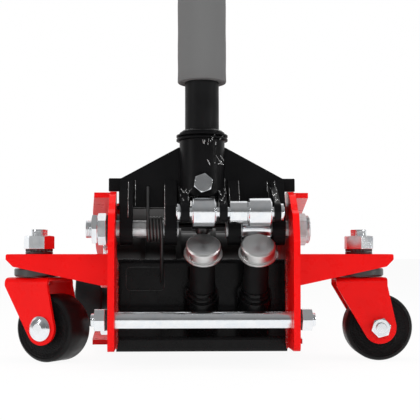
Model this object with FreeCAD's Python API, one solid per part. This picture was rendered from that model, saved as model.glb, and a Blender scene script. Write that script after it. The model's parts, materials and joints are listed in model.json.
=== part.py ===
"""Low trolley jack: lifting chassis, twin pumps, handle yoke and two-piece handle.

Working axes while modelling, in millimetres: X to the right seen from the rear,
Y forward from the rear edge of the side plates, Z up from a datum just under the floor.
Each piece is written with the origin moved to the floor, at the middle of the footprint.
"""
import FreeCAD, Part
import math
import os

from FreeCAD import Vector

os.makedirs("parts", exist_ok=True)

# Fits and gaps
RUN = 0.05
GAP = 0.3
SIDE_GAP = 0.6
HEAD_LIFT = 0.8

# Level of the floor in the working axes
FLOOR_Z = 2.4

# Side plates
PLATE_T = 6.0
REAR_HALF = 86.0
MID_HALF = 94.0
FRONT_HALF = 100.0
BEND_REAR_Y = 64.0
BEND_MID_Y = 180.0
BEND_FRONT_Y = 350.0
PLATE_BOTTOM = 12.6
REAR_BOTTOM = 19.4
PLATE_TOP = 164.5
FLANGE_W = 15.5
FLANGE_T = 5.0

# Handle yoke pivot
PIVOT_Y = 50.0
PIVOT_Z = 129.3
PIVOT_R = 8.0
EAR_CLEAR_R = 34.5
HANDLE_LEAN = 4.0
STUD_INNER_X = 22.0
STUD_OUTER_X = 108.0
PIVOT_WASHER_R = 13.4
PIVOT_WASHER_T = 3.4
PIVOT_AF = 26.0
PIVOT_NUT_TS = (8.0, 5.2)
PIVOT_NUT_TURNS = (0.0, 30.0)
NUT_STEP = 0.1
BOLT_HEAD_T = 7.5

# Rear tie rod
TIE_Y = 20.0
TIE_Z = 46.7
TIE_R = 7.8
TIE_END_R = 6.0
TIE_HALF = 101.5
TIE_AF = 19.0
TIE_NUT_T = 9.5
TIE_WASHER_R = 9.6
TIE_WASHER_T = 3.0
TIE_CHAMFER = 1.2

# Outriggers and casters
OUTRIGGER_Y0 = 78.0
OUTRIGGER_Y1 = 142.0
OUTRIGGER_TOP = 106.0
OUTRIGGER_HALF = 186.4
OUTRIGGER_T = 5.0
OUTRIGGER_DEEP = 30.0
OUTRIGGER_TIP = 12.0
CASTER_X = 157.6
CASTER_Y = 109.0
STEM_R = 8.0
STEM_TOP = 130.0
STEM_NUT_AF = 26.0
STEM_NUT_TURNS = (-5.0, 30.0)
STEM_NUT_T = 13.0
STEM_WASHER_R = 13.3
STEM_WASHER_T = 5.0
STEM_HEAD_R = 13.0
STEM_HEAD_T = 5.5
RACE_R = 24.0
RACE_T = 8.0
RACE_NECK_R = 19.0
FORK_TOP = 83.4
FORK_T = 3.0
FORK_SHOULDER = 8.0
FORK_HALF = 22.0
FORK_REACH = 25.0
FORK_TIP_R = 16.0
CASTER_TRAIL = 17.5
CASTER_WHEEL_R = 32.5
CASTER_WHEEL_W = 34.0
CASTER_AXLE_Z = FLOOR_Z + CASTER_WHEEL_R
CASTER_AXLE_R = 5.0
CASTER_DOME_R = 12.0
CASTER_DOME_T = 5.0
CASTER_NUT_AF = 17.0
CASTER_NUT_T = 8.0
LEFT_TRAIL_DEG = -30.0
RIGHT_TRAIL_DEG = -2.3

# Power unit
BLOCK_REAR = 87.0
BLOCK_FRONT = 128.0
BLOCK_TOP = 101.0
BLOCK_BOTTOM = 15.0
LIP_REAR = 53.0
LIP_TOP = 34.0
PANEL_X0 = -72.0
PANEL_X1 = -35.0
PANEL_Z0 = 71.0
PANEL_Z1 = 93.5
PANEL_DEPTH = 1.2
BLOCK_BOLT_Y = 104.0
BLOCK_BOLT_ZS = (38.0, 84.0)
BLOCK_BOLT_R = 6.0
BLOCK_BOLT_AF = 19.0
BLOCK_BOLT_HEAD_T = 7.5
RAM_Z = 55.6
RAM_R = 15.0
PISTON_R = 20.0
PISTON_T = 12.0
PISTON_Y = 104.0
TANK_R = 33.0
TANK_FRONT = 190.0
GLAND_R = 22.0
GLAND_FRONT = 198.0
CLEVIS_HALF = 15.5
CLEVIS_TALL = 24.0
CLEVIS_Y0 = 201.0
CLEVIS_Y1 = 231.0
PLUG_Y = 150.0
PLUG_R = 7.0

# Pumps
PUMP_XS = (0.0, 50.0)
PUMP_TILT = 42.0
CAP_Y = 22.0
CAP_Z = 115.0
CAP_R = 16.0
CAP_T = 10.0
CAP_FLANGE_R = 17.7
CAP_FLANGE_T = 2.0
CAP_HOLE_R = 2.2
PLUNGER_R = 9.8
PLUNGER_END = 60.0
PUMP_STROKE = 18.6
BARREL_END = 56.0
BARREL_R0 = 10.9
BARREL_R1 = 12.3
SEAT_START = 52.0
SEAT_END = 62.0
SEAT_RING_R = 13.2
COLLAR_R = 14.6
PUMP_BOSS_R = 16.5
PUMP_BOSS_END = 104.0
PUMP_BORE_END = 84.0
SPRING_BORE_R = 6.5
SPRING_BORE_START = 20.0

# Release valve on the middle line, parallel to the pumps
CUP_R = 10.5
CUP_BORE_R = 7.2
CUP_TALL = 17.0
CUP_SLOT_W = 8.6
CUP_SLOT_TALL = 10.0
BALL_R = 6.8
CROSS_R = 2.0
CROSS_HALF = 9.6
VALVE_NECK_R = 4.0
VALVE_STEM_R = 7.0
VALVE_STEM_START = 16.0
VALVE_STEM_END = 66.0
VALVE_BOSS_R = 13.0
VALVE_BOSS_START = 42.0
VALVE_BOSS_END = 72.0

# Yoke
GABLE_HALF = 87.5
GABLE_SHOULDER = 76.0
GABLE_TOP_HALF = 22.0
GABLE_Y0 = 52.0
GABLE_T = 6.0
EAR_BOTTOM = 165.6
EAR_TOP = 177.5
GABLE_TOP = 207.0
GABLE_BOTTOM = 150.0
GABLE_INNER_HALF = 78.0
SOCKET_R = 21.2
SOCKET_BOTTOM = 158.0
SOCKET_TOP = 220.0
COLLAR_BEAD_R = 24.2
COLLAR_BEAD_T = 3.0
COLLAR_BEAD_ZS = (211.8, 215.4)
ARM_XS = ((-76.8, -64.7), (-35.4, -23.7), (23.7, 35.4), (64.7, 76.8))
ARM_BOSS_R = 15.0
ARM_RIB_TOP = 176.0
TAB_XS = ((-20.9, -12.9), (14.3, 21.3), (63.7, 69.3))
TAB_R = 9.0
ROLLER_BACK = 36.0
ROLLER_UP = 12.4
ROLLER_SHAFT_R = 5.0
ROLLER_SHAFT_X0 = -25.0
ROLLER_SHAFT_X1 = 73.0
ROLLER_R = 13.0
ROLLER_XS = ((-11.0, 11.0), (39.5, 61.6))
SPACER_X0 = 23.4
SPACER_X1 = 39.1
SPACER_R = 10.5
ROLLER_WASHER_R = 8.0
ROLLER_WASHER_T = 2.4
PIVOT_SPACER_X0 = 37.0
PIVOT_SPACER_X1 = 63.5
PIVOT_SPACER_R = 9.8
CLAMP_Z = 169.6
CLAMP_R = 5.0
CLAMP_AF = 16.0
CLAMP_HEAD_T = 7.0
CLAMP_TIP_R = 3.0

# Torsion spring round the left pivot stud
SPRING_WIRE_R = 1.5
SPRING_MEAN_R = 10.6
SPRING_X0 = -50.7
SPRING_X1 = -37.8
SPRING_COILS = 4.125
SPRING_ARCS = 30
SPRING_LEG_TOP = 169.0

# Handle
TUBE_R = 16.0
TUBE_WALL = 3.0
TUBE_BOTTOM = 165.0
TUBE_JOINT = 700.0
TUBE_TOP = 1190.0
SPIGOT_LENGTH = 90.0
SLEEVE_R = 23.0
SLEEVE_BOTTOM = 268.0
SLEEVE_TOP = 560.0
GRIP_R = 18.5
GRIP_LENGTH = 130.0
GRIP_CAP_T = 4.0
BUTTON_R = 4.0
BUTTON_Z = 722.0
GROOVE_DEPTH = 1.4
GROOVE_HALF = 3.4

# Lifting gear
ARM_PIVOT_Y = 250.0
ARM_PIVOT_Z = 112.0
ARM_PIVOT_R = 12.5
ARM_HUB_R = 16.5
ARM_HUB_HALF = 88.5
ARM_REACH_Y = 280.0
ARM_DROP_Z = 52.0
ARM_LIFT = 70.0
ARM_WALL = 5.0
ARM_REAR_HALF = 60.0
ARM_FRONT_HALF = 36.0
ARM_TAPER_Y0 = ARM_PIVOT_Y + 50.0
ARM_TAPER_Y1 = ARM_PIVOT_Y + ARM_REACH_Y - 35.0
ARM_REAR_R = 26.0
ARM_FRONT_R = 18.0
ARM_CROWN = 34.0
LUG_R = 62.0
LUG_X0 = 16.0
LUG_X1 = 22.0
LUG_TIP_R = 14.0
RAM_PIN_R = 8.0
RAM_PIN_HALF = 49.0
KNUCKLE_PIN_R = 9.0
KNUCKLE_HALF = 30.5
KNUCKLE_R = 17.0
LINK_OFFSET = 32.0
LINK_T = 7.0
LINK_HALF_H = 7.0
LINK_EYE_R = 11.0
LINK_REAR_X = 65.0
LINK_FRONT_X = 39.5
LINK_BOLT_R = 6.0
LINK_BOLT_HEAD_R = 9.5
LINK_BOLT_HEAD_T = 5.0
SADDLE_AHEAD = 28.0
POST_R = 23.0
POST_TOP = 79.7
POST_BOTTOM = 44.0
SADDLE_STEM_R = 14.0
SADDLE_BOTTOM = 80.0
SADDLE_R = 43.0
SADDLE_FLOOR = 86.0
SADDLE_RIM_T = 6.0
SADDLE_TOP = 98.0
SADDLE_TEETH = 4
SADDLE_GAP_W = 26.0
RETURN_SPRING_X = 42.0
RETURN_SPRING_R = 7.0
RETURN_SPRING_WALL = 2.2
HOOK_Y = 136.0
HOOK_R = 5.0

# Front axle and wheels
AXLE_Y = ARM_PIVOT_Y + ARM_REACH_Y + 75.0
AXLE_R = 10.0
AXLE_TAIL = 2.1
HUB_PROUD = 1.0
FRONT_WHEEL_R = 40.0
AXLE_Z = FLOOR_Z + FRONT_WHEEL_R
FRONT_WHEEL_X0 = 119.0
FRONT_WHEEL_X1 = 156.0
FRONT_HUB_R = 16.0
RING_T = 1.6
RING_RISE = 4.0
AXLE_RING_X = FRONT_WHEEL_X1 + HUB_PROUD + GAP
AXLE_HALF = AXLE_RING_X + RING_T + AXLE_TAIL
NOSE_Y = AXLE_Y + 23.0
FLANGE_END_Y = AXLE_Y - 70.0
NOSE_TOP = 62.0

# Top cover
COVER_Y0 = 100.0
COVER_Y1 = 215.0
COVER_Z0 = 153.0
COVER_Z1 = 141.0
COVER_T = 3.0
TAB_W = 14.0
TAB_T = 4.0
COVER_SCREW_R = 3.0
COVER_SCREW_AF = 10.0
COVER_SCREW_HEAD_T = 4.0
COVER_SCREW_YS = (112.0, 203.0)

# Origin: middle of the footprint, with the casters trailing as they stand
BOX_RIGHT = CASTER_X + CASTER_TRAIL + CASTER_WHEEL_R
LEFT_TURN = math.radians(-LEFT_TRAIL_DEG)
BOX_LEFT = -(CASTER_X + FORK_REACH * math.cos(LEFT_TURN) + FORK_HALF * math.sin(LEFT_TURN))
BOX_FRONT = AXLE_Y + FRONT_WHEEL_R
ORIGIN = Vector((BOX_RIGHT + BOX_LEFT) / 2, BOX_FRONT / 2, FLOOR_Z)

X_AXIS = Vector(1, 0, 0)
Y_AXIS = Vector(0, 1, 0)
Z_AXIS = Vector(0, 0, 1)
PIVOT = Vector(0, PIVOT_Y, PIVOT_Z)
ARM_PIVOT = Vector(0, ARM_PIVOT_Y, ARM_PIVOT_Z)
KNUCKLE = Vector(0, ARM_PIVOT_Y + ARM_REACH_Y, ARM_PIVOT_Z - ARM_DROP_Z)
PUMP_DIR = Vector(0, math.sin(math.radians(PUMP_TILT)), -math.cos(math.radians(PUMP_TILT)))
ARM_REST = math.degrees(math.atan2(-ARM_DROP_Z, ARM_REACH_Y))
LINK_TURN = math.radians(ARM_REST + ARM_LIFT / 2)
LINK_SHIFT = Vector(0, LINK_OFFSET * math.sin(LINK_TURN), -LINK_OFFSET * math.cos(LINK_TURN))
LUG_TURN = math.radians(ARM_LIFT / 2)
RAM_PIN = ARM_PIVOT + Vector(0, -LUG_R * math.sin(LUG_TURN), -LUG_R * math.cos(LUG_TURN))
ARM_LENGTH = math.hypot(ARM_REACH_Y, ARM_DROP_Z)


def write(name, solids):
    """Write one node, a single solid or a list of separate ones, moved to the origin."""
    shape = Part.makeCompound(solids) if isinstance(solids, list) else solids
    shape.translate(Vector(-ORIGIN.x, -ORIGIN.y, -ORIGIN.z))
    shape.exportStep("parts/" + name + ".step")


def rod(start, direction, radius, length):
    """Cylinder from a point along a direction."""
    return Part.makeCylinder(radius, length, start, direction)


def cross_rod(x0, x1, y, z, radius):
    """Cylinder along X between two stations."""
    return rod(Vector(x0, y, z), X_AXIS, radius, x1 - x0)


def block(x0, x1, y0, y1, z0, z1):
    """Box between two corners."""
    return Part.makeBox(x1 - x0, y1 - y0, z1 - z0, Vector(x0, y0, z0))


def rounded_wire(corners, place):
    """Closed wire through (u, v, radius) corners, with each corner rounded by an arc."""
    count = len(corners)
    ends = []
    for index in range(count):
        before = Vector(*corners[index - 1][:2], 0)
        here = Vector(*corners[index][:2], 0)
        after = Vector(*corners[(index + 1) % count][:2], 0)
        radius = corners[index][2]
        if radius <= 0:
            ends.append((here, None, here))
            continue
        back = (before - here).normalize()
        ahead = (after - here).normalize()
        half = back.getAngle(ahead) / 2
        reach = radius / math.tan(half)
        inward = (back + ahead).normalize()
        middle = here + inward * (radius / math.sin(half) - radius)
        ends.append((here + back * reach, middle, here + ahead * reach))
    edges = []
    for index in range(count):
        start, middle, stop = ends[index]
        if middle is not None:
            arc = Part.Arc(place(start.x, start.y), place(middle.x, middle.y), place(stop.x, stop.y))
            edges.append(arc.toShape())
        following = ends[(index + 1) % count][0]
        if (following - stop).Length > 1e-6:
            line = Part.LineSegment(place(stop.x, stop.y), place(following.x, following.y))
            edges.append(line.toShape())
    return Part.Wire(Part.__sortEdges__(edges))


def prism_x(corners, x0, x1):
    """Side profile of (y, z, radius) corners, extruded along X."""
    wire = rounded_wire(corners, lambda u, v: Vector(x0, u, v))
    return Part.Face(wire).extrude(X_AXIS * (x1 - x0))


def prism_y(corners, y0, y1):
    """Rear profile of (x, z, radius) corners, extruded along Y."""
    wire = rounded_wire(corners, lambda u, v: Vector(u, y0, v))
    return Part.Face(wire).extrude(Y_AXIS * (y1 - y0))


def prism_z(corners, z0, z1):
    """Plan of (x, y, radius) corners, extruded along Z."""
    wire = rounded_wire(corners, lambda u, v: Vector(u, v, z0))
    return Part.Face(wire).extrude(Z_AXIS * (z1 - z0))


def turned(profile, start, direction):
    """Solid of revolution: (along, radius) corners about an axis through start."""
    side = X_AXIS if abs(direction.dot(X_AXIS)) < 0.9 else Y_AXIS
    out = (side - direction * side.dot(direction)).normalize()
    points = [start + direction * along + out * radius for along, radius in profile]
    return facing_out(Part.Face(Part.makePolygon(points + [points[0]])).revolve(start, direction, 360))


def facing_out(solid):
    """The solid with its faces pointing outward."""
    if solid.Volume < 0:
        solid.reverse()
    return solid


def hex_prism(start, direction, flats, height, turn=0.0):
    """Hexagonal prism with its corners chamfered as on a nut or bolt head."""
    side = X_AXIS if abs(direction.dot(X_AXIS)) < 0.9 else Z_AXIS
    out = (side - direction * side.dot(direction)).normalize()
    across = direction.cross(out)
    radius = flats / math.sqrt(3)
    points = []
    for index in range(6):
        angle = math.radians(60 * index + turn)
        points.append(start + out * radius * math.cos(angle) + across * radius * math.sin(angle))
    prism = Part.Face(Part.makePolygon(points + [points[0]])).extrude(direction * height)
    drop = (radius - flats / 2) * 0.6
    crown = turned([(0, 0), (0, radius + 1), (height - drop, radius + 1), (height, flats / 2 - 0.2),
                    (height, 0)],
                   start, direction)
    return prism.common(crown)


def mirrored(shape):
    """The same piece on the other side of the middle plane."""
    return shape.mirror(Vector(0, 0, 0), X_AXIS)


def about_pivot(shape, degrees):
    """Shape turned about the yoke pivot, positive towards the rear."""
    turned_shape = shape.copy()
    turned_shape.rotate(PIVOT, X_AXIS, degrees)
    return turned_shape


def in_yoke(shape):
    """Shape drawn upright, leaned forward as the handle stands at rest."""
    return about_pivot(shape, -HANDLE_LEAN)


def plate_face(y):
    """Outer half width of the side plates at a station along the jack."""
    if y <= BEND_REAR_Y:
        return REAR_HALF
    if y <= BEND_MID_Y:
        return REAR_HALF + (MID_HALF - REAR_HALF) * (y - BEND_REAR_Y) / (BEND_MID_Y - BEND_REAR_Y)
    if y <= BEND_FRONT_Y:
        return MID_HALF + (FRONT_HALF - MID_HALF) * (y - BEND_MID_Y) / (BEND_FRONT_Y - BEND_MID_Y)
    return FRONT_HALF


def plan_strip(inner_shift, outer_shift, y0, y1, z0, z1):
    """Strip that follows the bent side plate in plan, between two shifts from its outer face."""
    stations = [y0] + [y for y in (BEND_REAR_Y, BEND_MID_Y, BEND_FRONT_Y) if y0 < y < y1] + [y1]
    outer = [(plate_face(y) + outer_shift, y, 0) for y in stations]
    inner = [(plate_face(y) + inner_shift, y, 0) for y in reversed(stations)]
    return prism_z(outer + inner, z0, z1)


def between_plates(clearance, y0, y1, z0, z1):
    """The whole space between the side plates, less a clearance on each side."""
    stations = [y0] + [y for y in (BEND_REAR_Y, BEND_MID_Y, BEND_FRONT_Y) if y0 < y < y1] + [y1]
    right = [(plate_face(y) - PLATE_T - clearance, y, 0) for y in stations]
    left = [(-x, y, 0) for x, y, _ in reversed(right)]
    return prism_z(right + left, z0, z1)


def plate_outline():
    """Side plate profile: notched rear corner, rounded crown, long slope and blunt nose."""
    return [(0, REAR_BOTTOM, 5), (0, 118, 6), (9, 143, 5), (20, 147, 0),
            (PIVOT_Y - EAR_CLEAR_R * math.sin(math.radians(48)),
             PIVOT_Z + EAR_CLEAR_R * math.cos(math.radians(48)), 0),
            (PIVOT_Y - EAR_CLEAR_R * math.sin(math.radians(24)),
             PIVOT_Z + EAR_CLEAR_R * math.cos(math.radians(24)), 12),
            (PIVOT_Y + 2, PLATE_TOP, 10),
            (70, PLATE_TOP, 30), (215, 148, 90), (AXLE_Y - 175, 98, 120), (AXLE_Y - 45, 84, 60),
            (NOSE_Y, NOSE_TOP, 16), (NOSE_Y, PLATE_BOTTOM, 12), (165, PLATE_BOTTOM, 40),
            (110, REAR_BOTTOM, 40)]


def side_plate():
    """Right side plate: bent web with outward flanges, cover tabs and bores."""
    low, high = REAR_HALF - PLATE_T - 2, FRONT_HALF + FLANGE_W + 2
    web = prism_x(plate_outline(), low, high).common(plan_strip(-PLATE_T, 0, -5, NOSE_Y + 5, 0, 200))
    inset = [(y, z - FLANGE_T, r) for y, z, r in plate_outline()]
    top_band = prism_x(plate_outline(), low, high).cut(prism_x(inset, low - 1, high + 1))
    top_zone = block(0, high, 68, FLANGE_END_Y, 60, 200)
    raised = [(y, z + FLANGE_T, r) for y, z, r in plate_outline()]
    bottom_band = prism_x(plate_outline(), low, high).cut(prism_x(raised, low - 1, high + 1))
    bottom_zone = block(0, high, 167, FLANGE_END_Y, 0, 60)
    flange_plan = plan_strip(-PLATE_T / 2, FLANGE_W, 60, FLANGE_END_Y + 5, 0, 200)
    top_flange = top_band.common(top_zone).common(flange_plan)
    bottom_flange = bottom_band.common(bottom_zone).common(flange_plan)
    plate = web.fuse([top_flange, bottom_flange] + cover_tabs())
    cuts = [cross_rod(low - 30, high + 5, PIVOT_Y, PIVOT_Z, PIVOT_R + RUN),
            cross_rod(low - 30, high + 5, TIE_Y, TIE_Z, TIE_END_R + RUN),
            cross_rod(low - 30, high + 5, ARM_PIVOT_Y, ARM_PIVOT_Z, ARM_PIVOT_R + RUN),
            cross_rod(low - 30, high + 5, AXLE_Y, AXLE_Z, AXLE_R + RUN)]
    anchor = ARM_PIVOT + LINK_SHIFT
    cuts.append(cross_rod(low - 30, high + 5, anchor.y, anchor.z, LINK_BOLT_R + RUN))
    cuts += [cross_rod(low - 30, high + 5, BLOCK_BOLT_Y, z, BLOCK_BOLT_R + RUN) for z in BLOCK_BOLT_ZS]
    cuts += [rod(cover_point(plate_face(y) - PLATE_T - TAB_W / 2, y, -20), cover_normal(),
                 COVER_SCREW_R + RUN, 30) for y in COVER_SCREW_YS]
    return plate.cut(cuts).removeSplitter()


def cover_slope():
    """Angle of the top cover, down towards the front."""
    return math.atan2(COVER_Z1 - COVER_Z0, COVER_Y1 - COVER_Y0)


def cover_normal():
    """Upward normal of the top cover."""
    return Vector(0, -math.sin(cover_slope()), math.cos(cover_slope()))


def cover_point(x, y, lift):
    """Point over the cover's upper face, lifted along its normal."""
    on_face = Vector(x, y, COVER_Z0 + (y - COVER_Y0) * math.tan(cover_slope()))
    return on_face + cover_normal() * lift


def cover_tabs():
    """Two welded tabs inside a side plate that carry the cover's edge."""
    tabs = []
    for y in COVER_SCREW_YS:
        rear = cover_point(0, y - TAB_W / 2, -COVER_T - RUN)
        front = cover_point(0, y + TAB_W / 2, -COVER_T - RUN)
        inner = plate_face(y) - PLATE_T - TAB_W
        tabs.append(prism_x([(rear.y, rear.z, 0), (front.y, front.z, 0), (front.y, front.z - TAB_T, 0),
                             (rear.y, rear.z - TAB_T, 0)], inner, plate_face(y) - PLATE_T / 2))
    return tabs


def top_cover():
    """Bent cover plate over the power unit, with screw holes over the tabs."""
    slope = math.tan(cover_slope())
    run = COVER_Y1 - COVER_Y0
    plate = prism_x([(COVER_Y0, COVER_Z0, 0), (COVER_Y1, COVER_Z0 + run * slope, 0),
                     (COVER_Y1, COVER_Z0 + run * slope - COVER_T, 0), (COVER_Y0, COVER_Z0 - COVER_T, 0)],
                    -MID_HALF - 5, MID_HALF + 5)
    plate = plate.common(between_plates(GAP, COVER_Y0 - 5, COVER_Y1 + 5, 100, 200))
    holes = []
    for y in COVER_SCREW_YS:
        for side in (-1, 1):
            x = side * (plate_face(y) - PLATE_T - TAB_W / 2)
            holes.append(rod(cover_point(x, y, -20), cover_normal(), COVER_SCREW_R + RUN, 30))
    return plate.cut(holes)


def cover_screws():
    """Four hex screws that hold the cover to its tabs."""
    screws = []
    for y in COVER_SCREW_YS:
        for side in (-1, 1):
            x = side * (plate_face(y) - PLATE_T - TAB_W / 2)
            head = hex_prism(cover_point(x, y, 0), cover_normal(), COVER_SCREW_AF, COVER_SCREW_HEAD_T)
            screws.append(head.fuse(rod(cover_point(x, y, -12), cover_normal(), COVER_SCREW_R, 12.5)))
    return screws


def outrigger():
    """Right outrigger: folded channel that tapers outward and carries the caster."""
    half = OUTRIGGER_HALF
    plan = prism_z([(70, OUTRIGGER_Y0, 0), (half, OUTRIGGER_Y0, 1.5), (half, OUTRIGGER_Y1 - 8, 10),
                    (half - 22, OUTRIGGER_Y1, 12), (70, OUTRIGGER_Y1, 0)], 0, 200)
    low = OUTRIGGER_TOP - OUTRIGGER_DEEP
    tip = OUTRIGGER_TOP - OUTRIGGER_TIP
    profile = prism_y([(70, low, 0), (96, low, 20), (half - 7, tip, 0), (half, tip + 7, 0),
                       (half, OUTRIGGER_TOP, 2), (70, OUTRIGGER_TOP, 0)], OUTRIGGER_Y0 - 1, OUTRIGGER_Y1 + 1)
    inner = block(0, half + 5, OUTRIGGER_Y0 + OUTRIGGER_T, OUTRIGGER_Y1 - OUTRIGGER_T, 0,
                  OUTRIGGER_TOP - OUTRIGGER_T)
    core = plan_strip(-40, 0, 0, 200, 0, 200)
    stem = rod(Vector(CASTER_X, CASTER_Y, 50), Z_AXIS, STEM_R + RUN, 100)
    return plan.common(profile).cut([inner, core, stem])


def tie_rod():
    """Rear tie rod: thick between the plates, with thinner threaded ends through them."""
    shoulder = REAR_HALF - PLATE_T
    profile = [(-TIE_HALF, 0), (-TIE_HALF, TIE_END_R - TIE_CHAMFER), (-TIE_HALF + TIE_CHAMFER, TIE_END_R),
               (-shoulder, TIE_END_R), (-shoulder, TIE_R)]
    profile += [(-along, radius) for along, radius in reversed(profile)]
    return turned(profile, Vector(0, TIE_Y, TIE_Z), X_AXIS)


def tie_rod_nuts():
    """Nuts outside both ends of the tie rod."""
    start = Vector(REAR_HALF + TIE_WASHER_T, TIE_Y, TIE_Z)
    bore = cross_rod(0, TIE_HALF + 10, TIE_Y, TIE_Z, TIE_END_R + RUN)
    nut = hex_prism(start, X_AXIS, TIE_AF, TIE_NUT_T, 30).cut(bore)
    return [nut, mirrored(nut)]


def washer(x, y, z, radius, thickness, bore):
    """Flat washer about X."""
    ring = cross_rod(x, x + thickness, y, z, radius)
    return ring.cut(cross_rod(x - 1, x + thickness + 1, y, z, bore + RUN))


def frame_washers():
    """Dark washers under the tie rod nuts, the pivot fasteners and the caster nuts."""
    tie = washer(REAR_HALF, TIE_Y, TIE_Z, TIE_WASHER_R, TIE_WASHER_T, TIE_END_R)
    pivot = washer(REAR_HALF, PIVOT_Y, PIVOT_Z, PIVOT_WASHER_R, PIVOT_WASHER_T, PIVOT_R)
    stem = rod(Vector(CASTER_X, CASTER_Y, OUTRIGGER_TOP), Z_AXIS, STEM_WASHER_R, STEM_WASHER_T)
    stem = stem.cut(rod(Vector(CASTER_X, CASTER_Y, 90), Z_AXIS, STEM_R + RUN, 60))
    pieces = [tie, pivot, stem]
    return pieces + [mirrored(piece) for piece in pieces]


def pivot_bolts():
    """Left stud with a long threaded end, and right hex bolt, each holding half of the yoke."""
    left = cross_rod(-STUD_OUTER_X, -STUD_INNER_X, PIVOT_Y, PIVOT_Z, PIVOT_R)
    head_x = REAR_HALF + PIVOT_WASHER_T
    right = cross_rod(STUD_INNER_X, head_x + 1, PIVOT_Y, PIVOT_Z, PIVOT_R)
    head = hex_prism(Vector(head_x, PIVOT_Y, PIVOT_Z), X_AXIS, PIVOT_AF, BOLT_HEAD_T)
    return [left, right.fuse(head)]


def pivot_nuts():
    """Nut and thinner jam nut on the left pivot stud, turned half a flat from each other."""
    x = -(REAR_HALF + PIVOT_WASHER_T)
    nuts = []
    for thickness, turn in zip(PIVOT_NUT_TS, PIVOT_NUT_TURNS):
        nut = hex_prism(Vector(x, PIVOT_Y, PIVOT_Z), -X_AXIS, PIVOT_AF, thickness, turn)
        nuts.append(nut.cut(cross_rod(-200, 0, PIVOT_Y, PIVOT_Z, PIVOT_R + RUN)))
        x -= thickness + NUT_STEP
    return nuts


def caster_stem(x):
    """Kingpin with a rivet head under the fork and a threaded top end."""
    head_top = FORK_TOP - FORK_T - GAP
    stem = rod(Vector(x, CASTER_Y, head_top - STEM_HEAD_T / 2), Z_AXIS, STEM_R,
               STEM_TOP - head_top + STEM_HEAD_T / 2)
    head = turned([(0, 0), (0, STEM_HEAD_R - 3), (2, STEM_HEAD_R), (STEM_HEAD_T, STEM_HEAD_R),
                   (STEM_HEAD_T, 0)],
                  Vector(x, CASTER_Y, head_top - STEM_HEAD_T), Z_AXIS)
    return stem.fuse(head)


def caster_stem_nut(x, turn):
    """Nut over the outrigger on a kingpin."""
    start = Vector(x, CASTER_Y, OUTRIGGER_TOP + STEM_WASHER_T)
    nut = hex_prism(start, Z_AXIS, STEM_NUT_AF, STEM_NUT_T, turn)
    return nut.cut(rod(Vector(x, CASTER_Y, 90), Z_AXIS, STEM_R + RUN, 60))


def caster_race(x):
    """Ball race between outrigger and fork: a flanged ring and its neck."""
    base = FORK_TOP + SIDE_GAP
    top = OUTRIGGER_TOP - OUTRIGGER_T - base
    ring = turned([(0, STEM_R + RUN), (0, RACE_R - 1.5), (1.5, RACE_R), (RACE_T - 1, RACE_R),
                   (RACE_T, RACE_R - 1),
                   (RACE_T, RACE_NECK_R), (top, RACE_NECK_R - 2), (top, STEM_R + RUN)],
                  Vector(x, CASTER_Y, base), Z_AXIS)
    return ring


def tangent_corner(centre, radius, point, side):
    """Point where a line from outside touches a circle, on one side."""
    dy, dz = point[0] - centre[0], point[1] - centre[1]
    reach = math.hypot(dy, dz)
    angle = math.atan2(dz, dy) + side * math.acos(radius / reach)
    return centre[0] + radius * math.cos(angle), centre[1] + radius * math.sin(angle)


def caster_fork(x, degrees):
    """Stamped fork: folded top, two tapering legs with round ends, trailing behind the stem."""
    axle = (CASTER_TRAIL, CASTER_AXLE_Z)
    back = tangent_corner(axle, FORK_TIP_R, (-FORK_REACH, FORK_TOP - FORK_SHOULDER), 1)
    front = tangent_corner(axle, FORK_TIP_R, (FORK_REACH, FORK_TOP - FORK_SHOULDER), -1)
    outline = [(-FORK_REACH, FORK_TOP, 2), (-FORK_REACH, FORK_TOP - FORK_SHOULDER, 4), (back[0], back[1], 0),
               (front[0], front[1], 0), (FORK_REACH, FORK_TOP - FORK_SHOULDER, 4), (FORK_REACH, FORK_TOP, 2)]
    wire = rounded_wire(outline, lambda u, v: Vector(u, -60, v))
    side = Part.Face(wire).extrude(Y_AXIS * 120)
    side = side.fuse(rod(Vector(axle[0], -60, axle[1]), Y_AXIS, FORK_TIP_R, 120))
    outer = rounded_wire([(-FORK_HALF, 0, 0), (FORK_HALF, 0, 0), (FORK_HALF, FORK_TOP, 6),
                          (-FORK_HALF, FORK_TOP, 6)],
                         lambda u, v: Vector(-80, u, v))
    inside = FORK_HALF - FORK_T
    inner = rounded_wire([(-inside, -5, 0), (inside, -5, 0), (inside, FORK_TOP - FORK_T, 3),
                          (-inside, FORK_TOP - FORK_T, 3)], lambda u, v: Vector(-81, u, v))
    fold = Part.Face(outer).extrude(X_AXIS * 160).cut(Part.Face(inner).extrude(X_AXIS * 162))
    fork = fold.common(side)
    fork = fork.cut([rod(Vector(0, 0, 60), Z_AXIS, STEM_R + RUN, 40),
                     rod(Vector(axle[0], -60, axle[1]), Y_AXIS, CASTER_AXLE_R + RUN, 120)])
    return placed_caster(fork, x, degrees)


def placed_caster(shape, x, degrees):
    """Caster piece drawn about its stem, turned to its trail and set under its outrigger."""
    shape.rotate(Vector(0, 0, 0), Z_AXIS, degrees)
    shape.translate(Vector(x, CASTER_Y, 0))
    return shape


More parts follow.
